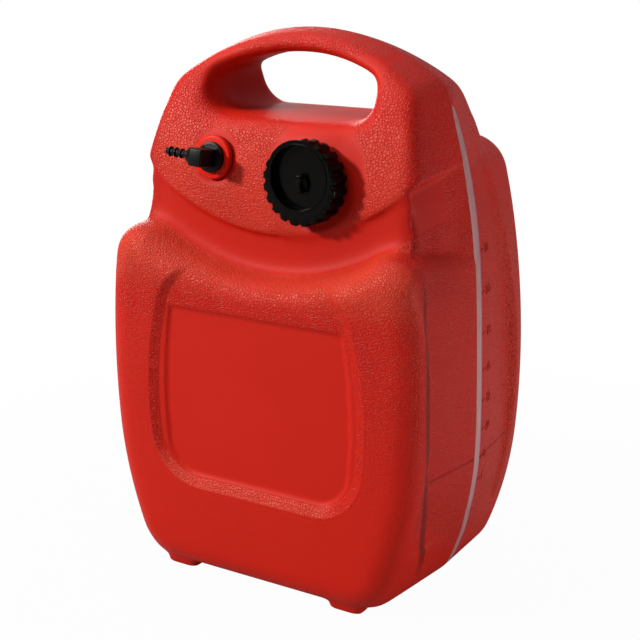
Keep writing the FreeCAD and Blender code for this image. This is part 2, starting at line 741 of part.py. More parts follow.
def polar(part_body, name, original, count):
    """Copies of a feature round the body's Z."""
    made = part_body.newObject("PartDesign::PolarPattern", name)
    made.Originals = [original]
    made.Axis = (original.Profile[0], ["N_Axis"])
    made.Angle = 360.0
    made.setExpression("Occurrences", Size.of(count).text)
    part_body.Tip = made
    return made


def make_ring(name, inner, outer, low, high, frame):
    ring = new_body(name)
    turned(ring, name + "_turned", [(inner, low), (outer, low), (outer, high), (inner, high)])
    ring.Placement = frame
    return ring


def make_torus(name, middle, section, height, frame):
    ring = doc.addObject("Part::Torus", name)
    ring.Label = name
    ring.setExpression("Radius1", Size.of(middle).text)
    ring.setExpression("Radius2", (Size.of(section) / 2).text)
    doc.recompute()
    ring.Placement = raised(frame, height)
    return ring


def fixed(name, shape, frame=None):
    """A piece whose shape is made here from the sheet's sizes."""
    piece = doc.addObject("Part::Feature", name)
    piece.Label = name
    piece.Shape = shape
    if frame is not None:
        piece.Placement = frame
    return piece


PARTS = []

shell_shape, strip_shape = make_tank()
PARTS.append(fixed("tank_shell", shell_shape))
PARTS.append(fixed("level_strip", strip_shape))

# The cap, in a frame whose origin is in the plane of its skirt's edge

FACE = s.cap_height
FLOOR_TOP = s.cap_height - s.dish_depth
LIP = s.neck_length - s.cap_lift
FLOOR_UNDER = LIP + s.gasket_thickness
SKIRT_BORE = s.neck_radius + s.thread_height + s.thread_gap
VENT_BORE = s.vent_stem_radius + s.vent_gap
BAFFLE_TOP = FLOOR_UNDER - s.baffle_drop
BAFFLE_LOW = BAFFLE_TOP - s.baffle_thickness
HOLDER_BORE = s.baffle_radius - s.baffle_ring
HOLDER = s.baffle_radius + s.baffle_ring


def make_cap():
    """The cap: skirt with lobes, eccentric dish, vent bore, the baffle's ring, and its thread."""
    moulding = new_body("cap_moulding")
    turned(moulding, "cap_turned", [
        (VENT_BORE, FLOOR_UNDER), (HOLDER_BORE, FLOOR_UNDER), (HOLDER_BORE, BAFFLE_LOW),
        (HOLDER, BAFFLE_LOW), (HOLDER, FLOOR_UNDER), (SKIRT_BORE, FLOOR_UNDER), (SKIRT_BORE, 0),
        (s.cap_radius, 0), (s.cap_radius, FACE - s.cap_bevel), (s.cap_radius - s.cap_bevel, FACE),
        (VENT_BORE, FACE)])
    turned(moulding, "baffle_groove", [
        (HOLDER_BORE / 2, BAFFLE_LOW), (s.baffle_radius + s.groove_gap, BAFFLE_LOW),
        (s.baffle_radius + s.groove_gap, BAFFLE_TOP + s.groove_gap),
        (HOLDER_BORE / 2, BAFFLE_TOP + s.groove_gap)], "Groove")
    flutes = new_sketch(moulding, "flute_outline", "XY_Plane")
    circle(flutes, s.flute_radius, s.cap_radius + s.flute_radius - s.flute_sink)
    flute = cut_pocket(moulding, "flute", flutes, FACE * 2, True)
    polar(moulding, "flutes", flute, s.cap_lobes)
    dish = new_sketch(moulding, "dish_outline", "XY_Plane", 0.0, s.dish_shift, FACE)
    circle(dish, s.dish_radius)
    cut_pocket(moulding, "dish", dish, s.dish_depth)
    crest = num(s.neck_radius) + num(s.thread_gap)
    ridge = fixed("cap_thread", thread(num(SKIRT_BORE), crest, CAP_THREAD))
    cap = doc.addObject("Part::Fuse", "filler_cap")
    cap.Label = "filler_cap"
    cap.Base = moulding
    cap.Tool = ridge
    cap.Placement = CAP_FRAME
    return cap


PARTS.append(make_cap())
PARTS.append(make_ring("cap_gasket", s.neck_bore, SKIRT_BORE - s.thread_gap, LIP, FLOOR_UNDER,
                       CAP_FRAME))

# The vent screw stands in the dish and is kept by a clip below the cap's floor

KNOB_LOW = FLOOR_TOP + s.vent_seal_section + s.groove_gap
CLIP_TOP = FLOOR_UNDER - s.vent_pitch * s.vent_turns - s.groove_gap
CLIP_LOW = CLIP_TOP - s.clip_thickness
STEM_LOW = CLIP_LOW - s.clip_thickness
CLIP_GROOVE = s.vent_stem_radius - s.clip_rim / 2


def make_vent_screw():
    """Stem with a groove for its clip, and a knob with flutes."""
    screw = new_body("vent_screw")
    top = KNOB_LOW + s.vent_knob_height
    turned(screw, "vent_screw_turned", [
        (0, STEM_LOW), (s.vent_stem_radius, STEM_LOW),
        (s.vent_stem_radius, CLIP_LOW - s.groove_gap), (CLIP_GROOVE, CLIP_LOW - s.groove_gap),
        (CLIP_GROOVE, CLIP_TOP + s.groove_gap), (s.vent_stem_radius, CLIP_TOP + s.groove_gap),
        (s.vent_stem_radius, KNOB_LOW), (s.vent_knob_radius, KNOB_LOW),
        (s.vent_knob_radius, top), (0, top)])
    flutes = new_sketch(screw, "knob_flute_outline", "XY_Plane", 0.0, 0.0, KNOB_LOW)
    circle(flutes, s.knob_flute_radius, s.vent_knob_radius)
    flute = cut_pocket(screw, "knob_flute", flutes, s.vent_knob_height, True)
    polar(screw, "knob_flute_copies", flute, s.knob_flutes)
    screw.Placement = CAP_FRAME
    return screw


PARTS.append(make_vent_screw())
PARTS.append(make_torus("vent_seal", s.vent_stem_radius + s.groove_gap + s.vent_seal_section / 2,
                        s.vent_seal_section, (FLOOR_TOP + KNOB_LOW) / 2, CAP_FRAME))
PARTS.append(make_ring("vent_clip", CLIP_GROOVE + s.groove_gap, s.vent_stem_radius + s.clip_rim,
                       CLIP_LOW, CLIP_TOP, CAP_FRAME))


def make_baffle():
    """Perforated disc that snaps into the ring under the cap's floor."""
    baffle = new_body("splash_baffle")
    turned(baffle, "baffle_disc", [(0, BAFFLE_LOW), (s.baffle_radius, BAFFLE_LOW),
                                   (s.baffle_radius, BAFFLE_TOP), (0, BAFFLE_TOP)])
    holes = new_sketch(baffle, "baffle_hole_outline", "XY_Plane")
    circle(holes, s.baffle_hole_radius, s.baffle_hole_circle)
    hole = cut_pocket(baffle, "baffle_hole", holes, FLOOR_UNDER, True)
    polar(baffle, "baffle_holes", hole, s.baffle_hole_count)
    baffle.Placement = CAP_FRAME
    return baffle


PARTS.append(make_baffle())

# The outlet's bush, in a frame whose origin is at the inner end of its spigot

BUSH_LOW = s.spigot_length + s.bush_sleeve_length
BUSH_TOP = BUSH_LOW + s.bush_flange
BORE_LOW = BUSH_TOP - s.bush_bore_depth
BUSH_FRAME = raised(OUTLET_FRAME, s.outlet_gasket_thickness - BUSH_LOW)
CLIP_HIGH = BUSH_TOP - s.clip_place + s.clip_thickness / 2
CLIP_UNDER = CLIP_HIGH - s.clip_thickness
BUSH_GROOVE = s.bush_bore + s.clip_thickness

bush = new_body("outlet_bush")
turned(bush, "outlet_bush_turned", [
    (s.fuel_bore, 0), (s.spigot_radius, 0), (s.spigot_radius, s.spigot_length),
    (s.bush_sleeve, s.spigot_length), (s.bush_sleeve, BUSH_LOW), (s.bush_radius, BUSH_LOW),
    (s.bush_radius, BUSH_TOP - s.bush_bevel), (s.bush_radius - s.bush_bevel, BUSH_TOP),
    (s.bush_bore, BUSH_TOP), (s.bush_bore, CLIP_HIGH + s.groove_gap),
    (BUSH_GROOVE, CLIP_HIGH + s.groove_gap), (BUSH_GROOVE, CLIP_UNDER - s.groove_gap),
    (s.bush_bore, CLIP_UNDER - s.groove_gap), (s.bush_bore, BORE_LOW), (s.fuel_bore, BORE_LOW)])
bush.Placement = BUSH_FRAME
PARTS.append(bush)
PARTS.append(make_ring("outlet_gasket", s.bush_sleeve + s.bush_gap, s.bush_radius - s.groove_gap,
                       0, s.outlet_gasket_thickness, OUTLET_FRAME))

# The elbow turns in the bush. Its frame's origin is at the inner end of its stem, and its own +X
# is the way its hose tail points, which is -X of the tank and a little up

ELBOW_FRAME = raised(BUSH_FRAME, BUSH_TOP - s.stem_length, 180.0 - num(s.elbow_turn))
STEM_RADIUS = s.bush_bore - s.stem_gap
FLANGE_LOW = s.stem_length + s.elbow_gap
FLANGE_TOP = FLANGE_LOW + s.elbow_flange
TAIL_AXIS = FLANGE_TOP + s.tail_axis
TAIL_ROOT = s.block_width / 2 + s.tail_collar_length
RING_MIDDLE = s.stem_length - s.o_ring_place
CLIP_MIDDLE = s.stem_length - s.clip_place


def groove_for(part_body, name, middle, thickness, depth):
    """A groove round the elbow's stem for a ring of some thickness."""
    half = thickness / 2 + s.groove_gap
    inner = STEM_RADIUS - depth
    outer = STEM_RADIUS + depth
    turned(part_body, name, [(inner, middle - half), (outer, middle - half),
                             (outer, middle + half), (inner, middle + half)], "Groove")


def tail_outline():
    """Half outline of the hose tail: distance from the elbow's axis, and radius."""
    step = s.tail_length / s.barb_count
    points = [(s.block_width / 4, 0), (s.block_width / 4, s.tail_collar_radius),
              (TAIL_ROOT, s.tail_collar_radius)]
    for i in range(whole(s.barb_count)):
        start = TAIL_ROOT + step * (i + 0.25)
        points += [(start, s.barb_root), (start, s.barb_radius),
                   (start + s.barb_land, s.barb_radius), (start + step / 2, s.barb_root)]
    points.insert(3, (TAIL_ROOT, s.barb_root))
    end = TAIL_ROOT + s.tail_length
    return points + [(end, s.barb_root), (end, 0)]


def make_elbow():
    """Stem with two ring grooves, round flange, square block, collar and barbed hose tail."""
    elbow = new_body("outlet_elbow")
    turned(elbow, "elbow_stem", [
        (0, 0), (STEM_RADIUS, 0), (STEM_RADIUS, FLANGE_LOW), (s.elbow_flange_radius, FLANGE_LOW),
        (s.elbow_flange_radius, FLANGE_TOP), (0, FLANGE_TOP)])
    square = new_sketch(elbow, "elbow_block_outline", "XY_Plane", 0.0, 0.0, FLANGE_TOP)
    centred_rectangle(square, s.block_width, s.block_height)
    pad = raise_pad(elbow, "elbow_block", square, s.block_length)
    doc.recompute()
    high = num(FLANGE_TOP + s.block_length)
    names = ["Edge%d" % (i + 1) for i, e in enumerate(pad.Shape.Edges)
             if e.BoundBox.ZMax > high - NEAR]
    bevel = elbow.newObject("PartDesign::Chamfer", "elbow_block_bevel")
    bevel.Base = (pad, names)
    bevel.setExpression("Size", s.block_edge.text)
    elbow.Tip = bevel
    tail = new_sketch(elbow, "hose_tail_outline", "XZ_Plane", 0.0, TAIL_AXIS)
    bound_polygon(tail, tail_outline())
    barbs = feature(elbow, "Revolution", "hose_tail", tail)
    barbs.ReferenceAxis = (tail, ["H_Axis"])
    barbs.Angle = 360.0
    groove_for(elbow, "o_ring_groove", RING_MIDDLE, s.o_ring_section,
               s.o_ring_section + s.groove_gap)
    groove_for(elbow, "clip_groove", CLIP_MIDDLE, s.clip_thickness, s.clip_thickness)
    inlet = new_sketch(elbow, "inlet_outline", "XY_Plane")
    circle(inlet, s.fuel_bore)
    cut_pocket(elbow, "inlet_bore", inlet, TAIL_AXIS, True)
    outlet = new_sketch(elbow, "outlet_bore_outline", "YZ_Plane", 0.0, TAIL_AXIS)
    circle(outlet, s.tail_bore)
    cut_pocket(elbow, "outlet_bore", outlet, TAIL_ROOT + s.tail_length, True)
    elbow.Placement = ELBOW_FRAME
    return elbow


PARTS.append(make_elbow())
PARTS.append(make_torus("elbow_o_ring", STEM_RADIUS - s.o_ring_section / 2, s.o_ring_section,
                        RING_MIDDLE, ELBOW_FRAME))


def make_elbow_clip():
    """Split ring half in the bush's groove and half in the stem's."""
    low = CLIP_MIDDLE - s.clip_thickness / 2
    clip = make_ring("elbow_clip", STEM_RADIUS - s.clip_thickness + s.groove_gap,
                     BUSH_GROOVE - s.groove_gap, low, low + s.clip_thickness, ELBOW_FRAME)
    slit = new_sketch(clip, "clip_slit_outline", "YZ_Plane", 0.0, CLIP_MIDDLE)
    centred_rectangle(slit, s.clip_slit, s.clip_thickness * 2)
    cut_pocket(clip, "clip_slit", slit, BUSH_GROOVE * 2, True)
    return clip


PARTS.append(make_elbow_clip())

# The pickup tube runs back from the bush's spigot, bends down and ends on the strainer. Its own
# frame stands at its lower end, with +Y towards the front of the tank

SPIGOT_DEPTH = BUSH_LOW - s.outlet_gasket_thickness
END_DEPTH = SPIGOT_DEPTH - s.spigot_length + s.tube_gap
TUBE_Y = SPIGOT_DEPTH * cosine(s.outlet_tilt) - s.pocket_depth + s.tube_bend + s.tube_run
STRAINER_LOW = s.base_height + s.wall + s.strainer_gap
TUBE_LOW = STRAINER_LOW + s.strainer_height + s.tube_gap
TUBE_RISE = s.outlet_z - END_DEPTH * sine(s.outlet_tilt) - TUBE_LOW
TUBE_REACH = TUBE_Y + s.pocket_depth - END_DEPTH * cosine(s.outlet_tilt)


def make_tube():
    """Annular tube on a path of two lines and one bend, from the strainer up to the spigot."""
    tube = new_body("pickup_tube")
    ring = new_sketch(tube, "tube_section", "XY_Plane")
    circle(ring, s.tube_radius)
    circle(ring, s.tube_radius - s.tube_wall)
    route = new_sketch(tube, "tube_route", "YZ_Plane")
    bend, rise, reach = num(s.tube_bend), num(TUBE_RISE), num(TUBE_REACH)
    lean = math.radians(num(s.outlet_tilt))
    height = rise - (bend + math.sin(lean) * (reach - bend)) / math.cos(lean)
    over = Vector(bend - bend * math.sin(lean), height + bend * math.cos(lean), 0)
    route.addGeometry(Part.LineSegment(Vector(0, 0, 0), Vector(0, height, 0)))
    arc = Part.Circle(Vector(bend, height, 0), Vector(0, 0, 1), bend)
    route.addGeometry(Part.ArcOfCircle(arc, math.pi / 2 + lean, math.pi))
    route.addGeometry(Part.LineSegment(over, Vector(reach, rise, 0)))
    route.addConstraint(Sketcher.Constraint("Coincident", 0, 1, -1, 1))
    route.addConstraint(Sketcher.Constraint("Vertical", 0))
    route.addConstraint(Sketcher.Constraint("Tangent", 0, 2, 1, 2))
    route.addConstraint(Sketcher.Constraint("Tangent", 1, 1, 2, 1))
    bind(route, "Radius", s.tube_bend, 1)
    bind(route, "DistanceX", TUBE_REACH, -1, 1, 2, 2)
    bind(route, "DistanceY", TUBE_RISE, -1, 1, 2, 2)
    slope = route.addConstraint(Sketcher.Constraint("Angle", 2, lean))
    route.setExpression("Constraints[%d]" % slope, "%s * 1deg" % s.outlet_tilt.text)
    pipe = feature(tube, "AdditivePipe", "tube_pipe", ring)
    pipe.Spine = (route, ["Edge1", "Edge2", "Edge3"])
    tube.Placement = Placement(Vector(OUTLET[0], num(TUBE_Y), num(TUBE_LOW)),
                               Rotation(Vector(0, 0, 1), 180))
    return tube


PARTS.append(make_tube())


def make_tube_clip():
    """Ear clip round the tube over the spigot."""
    inner = s.tube_radius + s.tube_fit
    outer = inner + s.band_thickness
    low = s.spigot_length - s.band_place - s.band_width
    clip = make_ring("tube_clip", inner, outer, low, low + s.band_width, BUSH_FRAME)
    ear = new_sketch(clip, "clip_ear_outline", "XY_Plane", 0.0, outer + s.ear_height / 2, low)
    centred_rectangle(ear, s.ear_length, s.ear_height + s.band_thickness)
    raise_pad(clip, "clip_ear", ear, s.band_width)
    return clip


PARTS.append(make_tube_clip())


def make_strainer():
    """Slotted cage with a closed floor and a neck that plugs into the tube."""
    cage = new_body("strainer_cage")
    top = s.strainer_height
    inner = s.strainer_radius - s.strainer_wall
    neck = s.tube_radius - s.tube_wall - s.tube_fit
    turned(cage, "cage_turned", [
        (0, 0), (s.strainer_radius, 0), (s.strainer_radius, top), (neck, top),
        (neck, top + s.strainer_neck), (s.fuel_bore, top + s.strainer_neck),
        (s.fuel_bore, top - s.strainer_wall), (inner, top - s.strainer_wall),
        (inner, s.strainer_wall), (0, s.strainer_wall)])
    middle = top / 2
    window = new_sketch(cage, "slot_outline", "YZ_Plane", 0.0, middle)
    centred_rectangle(window, s.slot_width, s.slot_height)
    slot = cut_pocket(cage, "slot", window, s.strainer_radius * 2, True)
    copies = cage.newObject("PartDesign::PolarPattern", "slots")
    copies.Originals = [slot]
    copies.Axis = (origin_axis(cage, "Z_Axis"), [""])
    copies.Angle = 360.0
    copies.setExpression("Occurrences", s.strainer_slots.text)
    cage.Tip = copies
    cage.Placement = STRAINER_FRAME
    return cage


def origin_axis(part_body, role):
    return [f for f in part_body.Origin.OriginFeatures if f.Role == role][0]


STRAINER_FRAME = Placement(Vector(OUTLET[0], num(TUBE_Y), num(STRAINER_LOW)), Rotation())
PARTS.append(make_strainer())
GAUZE = s.strainer_radius - s.strainer_wall - s.groove_gap
PARTS.append(make_ring("strainer_mesh", GAUZE - s.mesh_thickness, GAUZE, s.strainer_wall,
                       s.strainer_height - s.strainer_wall, STRAINER_FRAME))

doc.recompute()


def faults():
    """Every object that failed, and every sub-part without a sound shape."""
    found = []
    for item in doc.Objects:
        if {"Invalid", "Error"} & set(item.State):
            found.append("%s is %s" % (item.Name, item.State))
    for part in PARTS:
        if part.Shape.isNull() or not part.Shape.isValid() or not part.Shape.Solids:
            found.append("%s has no sound shape" % part.Label)
    return found


problems = faults()
if problems:
    raise RuntimeError("; ".join(problems))

os.makedirs("parts", exist_ok=True)
for part in PARTS:
    part.Shape.exportStep(os.path.join("parts", part.Label + ".step"))
    print("%-16s %2d solid(s) %10.1f mm3" % (part.Label, len(part.Shape.Solids), part.Shape.Volume))
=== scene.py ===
"""A portable blow-moulded fuel tank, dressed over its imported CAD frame.

Lengths are written in millimetres and turned to metres by mm(). X runs to the right, Y to the back
and Z up. The parting plane of the mould is y = 0, and the cap and the outlet face -Y.
"""

from __future__ import annotations

import json
import logging
import math
from dataclasses import dataclass, field
from enum import Enum
from typing import Callable, Iterable, Sequence, Union

import bmesh
import bpy
from mathutils import Matrix, Vector
from mathutils.bvhtree import BVHTree

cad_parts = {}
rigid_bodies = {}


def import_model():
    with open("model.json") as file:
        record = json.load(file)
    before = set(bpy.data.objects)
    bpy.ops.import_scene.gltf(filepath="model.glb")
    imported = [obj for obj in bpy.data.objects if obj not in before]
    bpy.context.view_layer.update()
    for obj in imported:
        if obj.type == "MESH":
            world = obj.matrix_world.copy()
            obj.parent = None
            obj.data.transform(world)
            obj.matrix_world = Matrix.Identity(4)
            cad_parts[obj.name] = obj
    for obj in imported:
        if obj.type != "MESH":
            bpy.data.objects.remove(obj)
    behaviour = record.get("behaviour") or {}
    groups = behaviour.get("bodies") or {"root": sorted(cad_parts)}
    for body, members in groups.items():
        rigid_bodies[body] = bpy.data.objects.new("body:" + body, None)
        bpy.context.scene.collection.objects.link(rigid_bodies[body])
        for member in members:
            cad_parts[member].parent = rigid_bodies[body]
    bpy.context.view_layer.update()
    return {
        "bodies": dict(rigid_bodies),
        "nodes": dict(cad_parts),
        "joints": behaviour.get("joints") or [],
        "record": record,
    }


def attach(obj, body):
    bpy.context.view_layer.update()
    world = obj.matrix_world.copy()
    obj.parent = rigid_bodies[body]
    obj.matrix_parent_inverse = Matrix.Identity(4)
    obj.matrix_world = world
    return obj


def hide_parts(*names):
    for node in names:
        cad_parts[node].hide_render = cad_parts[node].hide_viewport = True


log = logging.getLogger("fuel_tank")

Colour = tuple[float, float, float]
Point = tuple[float, float, float]

MM = 0.001
PEBBLE_SLOPE = 0.3
SHARP_DEGREES = 32.0
THREAD_STEPS = 64
OUTSIDE = 300.0
WHITE: Colour = (1.0, 1.0, 1.0)


def mm(*lengths: float) -> Vector:
    """Three millimetre lengths as a vector in metres."""
    return Vector(lengths) * MM


@dataclass(frozen=True)
class Form:
    """The lines of the body that its shape, its finish and its fittings share.

    The arch, the brow and the lap are circles seen from the front, with their middles at these
    heights over the middle of the tank. The panel is the front one.
    """

    arch_middle: float = 283.0
    brow_middle: float = 527.0
    lap_middle: float = 503.5
    lap_radius: float = 215.5
    crease_middle: float = 212.0
    crease_bow: float = 0.00085
    panel_half: float = 115.0
    panel_low: float = 87.0
    panel_corner: float = 52.0
    panel_flat: float = 61.0
    panel_bow: float = 320.0
    panel_middle: float = 172.0
    filler: tuple[float, float] = (39.6, 375.2)
    outlet: Point = (-62.5, -66.0, 386.5)
    outlet_tilt: float = 7.0
    thread_pitch: float = 4.0


FORM = Form()


# Materials


class Wire:
    """A value that runs through a material, with Python's operators as its Math nodes."""

    def __init__(self, board: "Board", socket: bpy.types.NodeSocket) -> None:
        """Wraps an output socket.

        Args:
            board: the material that the socket belongs to.
            socket: the output socket.
        """
        self.board = board
        self.socket = socket

    def _math(self, operation: str, *values: "Term", clamp: bool = False) -> "Wire":
        """One Math node.

        Args:
            operation: the Math node's operation.
            values: its inputs in order.
            clamp: whether its result is kept from 0 to 1.

        Returns:
            The node's result.
        """
        settings = {"operation": operation, "use_clamp": clamp}
        return self.board.node("ShaderNodeMath", settings, dict(enumerate(values)))

    def __add__(self, other: "Term") -> "Wire":
        """The sum."""
        return self._math("ADD", self, other)

    def __radd__(self, other: "Term") -> "Wire":
        """The sum, with a number first."""
        return self._math("ADD", other, self)

    def __sub__(self, other: "Term") -> "Wire":
        """The difference."""
        return self._math("SUBTRACT", self, other)

    def __rsub__(self, other: "Term") -> "Wire":
        """The difference, with a number first."""
        return self._math("SUBTRACT", other, self)

    def __mul__(self, other: "Term") -> "Wire":
        """The product."""
        return self._math("MULTIPLY", self, other)

    def __rmul__(self, other: "Term") -> "Wire":
        """The product, with a number first."""
        return self._math("MULTIPLY", other, self)

    def __abs__(self) -> "Wire":
        """The value without its sign."""
        return self._math("ABSOLUTE", self)

    def __pow__(self, other: "Term") -> "Wire":
        """The power."""
        return self._math("POWER", self, other)

    def least(self, other: "Term") -> "Wire":
        """The smaller of the two values."""
        return self._math("MINIMUM", self, other)

    def most(self, other: "Term") -> "Wire":
        """The larger of the two values."""
        return self._math("MAXIMUM", self, other)

    def clamped(self) -> "Wire":
        """The value kept from 0 to 1."""
        return self._math("ADD", self, 0.0, clamp=True)

    def sine(self) -> "Wire":
        """The sine of the value."""
        return self._math("SINE", self)

    def beside(self, key: str) -> "Wire":
        """Another output of the node that gave this value."""
        return Wire(self.board, self.socket.node.outputs[key])

    def rise(self, low: float, high: float) -> "Wire":
        """A smooth step.

        Args:
            low: where the step leaves 0.
            high: where it reaches 1. Below low, the step falls instead.

        Returns:
            A value from 0 to 1.
        """
        start, end = min(low, high), max(low, high)
        step = self.board.node(
            "ShaderNodeMapRange",
            {"interpolation_type": "SMOOTHSTEP"},
            {"Value": self, "From Min": start, "From Max": end},
        )
        return step if high > low else 1.0 - step


Term = Union[Wire, float, int]
Paint = Union[Wire, Colour]


def span(across: Wire, up: Wire) -> Wire:
    """The distance that two lengths at right angles make."""
    return (across * across + up * up) ** 0.5


class Board:
    """The node tree of a material or of the world, from its first coordinate to its output."""

    def __init__(self, owner: Union[bpy.types.Material, bpy.types.World]) -> None:
        """Starts an empty node tree.

        Args:
            owner: the material or the world that it belongs to.
        """
        self.owner = owner
        owner.use_nodes = True
        self.tree = owner.node_tree
        self.tree.nodes.clear()

    @classmethod
    def named(cls, name: str) -> "Board":
        """The node tree of a new material."""
        return cls(bpy.data.materials.new(name))

    def node(self, kind: str, settings: dict, inputs: dict, output: Union[int, str] = 0) -> Wire:
        """Makes any node.

        Args:
            kind: the node's type.
            settings: its properties, which are set first. "stops" are a ramp's (place, colour).
            inputs: a value, colour or Wire for each input, by name or by place.
            output: the output that is wanted, by name or by place.

        Returns:
            That output.
        """
        made = self.tree.nodes.new(kind)
        for key, value in settings.items():
            if key == "stops":
                ramp = made.color_ramp
                for index, (place, colour) in enumerate(value):
                    stop = ramp.elements[index] if index < 2 else ramp.elements.new(place)
                    stop.position = place
                    stop.color = (*colour, 1.0)
            else:
                setattr(made, key, value)
        for key, value in inputs.items():
            socket = made.inputs[key]
            if isinstance(value, Wire):
                self.tree.links.new(value.socket, socket)
            elif socket.type == "RGBA" and len(value) == 3:
                socket.default_value = (*value, 1.0)
            else:
                socket.default_value = value
        return Wire(self, made.outputs[output])

    def place(self) -> Wire:
        """Object coordinates, in metres."""
        return self.node("ShaderNodeTexCoord", {}, {}, "Object")

    def axes(self) -> tuple[Wire, Wire, Wire]:
        """X, Y and Z of the object coordinates, in millimetres."""
        split = self.node("ShaderNodeSeparateXYZ", {}, {"Vector": self.place()})
        x, y, z = (split.beside(axis) * (1 / MM) for axis in "XYZ")
        return x, y, z

    def stretched(self, scale: Point) -> Wire:
        """Object coordinates, scaled along each axis."""
        return self.node(
            "ShaderNodeMapping", {}, {"Vector": self.place(), "Scale": scale}, "Vector"
        )

    def noise(self, size: float, detail: float = 2.0, at: Wire | None = None) -> Wire:
        """Noise from 0 to 1.

        Args:
            size: the size of its largest features in millimetres.
            detail: the number of finer octaves.
            at: the coordinates, or the object's.

        Returns:
            The noise.
        """
        inputs = {"Vector": at or self.place(), "Scale": 1 / (size * MM), "Detail": detail}
        return self.node("ShaderNodeTexNoise", {}, inputs, "Fac")

    def pebbles(self, size: float) -> Wire:
        """Round-topped cells like the grain of leather.

        Args:
            size: the distance between their middles in millimetres.

        Returns:
            A height from 0 to 1.
        """
        inputs = {"Vector": self.place(), "Scale": 1 / (size * MM), "Randomness": 0.85}
        cell = self.node("ShaderNodeTexVoronoi", {"feature": "DISTANCE_TO_EDGE"}, inputs,
                         "Distance")
        slope = (cell * (1.0 / PEBBLE_SLOPE)).least(1.0)
        return slope * (2.0 - slope)

    def mix(self, share: Term, first: Paint, second: Paint) -> Wire:
        """Two colours mixed: share 0 gives the first and 1 the second."""
        return self.node(
            "ShaderNodeMix", {"data_type": "RGBA"}, {0: share, 6: first, 7: second}, 2
        )

    def relief(self, height: Wire, depth: float, normal: Wire | None = None) -> Wire:
        """A bump.

        Args:
            height: the height, from 0 to 1.
            depth: what a height of 1 stands for, in millimetres.
            normal: the normal under it.

        Returns:
            The new normal.
        """
        inputs: dict = {"Strength": 1.0, "Distance": depth * MM, "Height": height}
        if normal is not None:
            inputs["Normal"] = normal
        return self.node("ShaderNodeBump", {}, inputs, "Normal")

    def finish(self, inputs: dict) -> bpy.types.Material:
        """Ends the material in a Principled BSDF.

        Args:
            inputs: the shader's inputs by name.

        Returns:
            The material.
        """
        self.end(self.node("ShaderNodeBsdfPrincipled", {}, inputs, "BSDF"))
        return self.owner

    def end(self, shader: Wire, kind: str = "ShaderNodeOutputMaterial") -> None:
        """Links a shader to an output node of its own."""
        out = self.tree.nodes.new(kind)
        self.tree.links.new(shader.socket, out.inputs["Surface"])


class Gloss(Enum):
    """How shiny a moulded part is: its roughness."""

    POLISHED = 0.15
    SATIN = 0.36
    DULL = 0.5


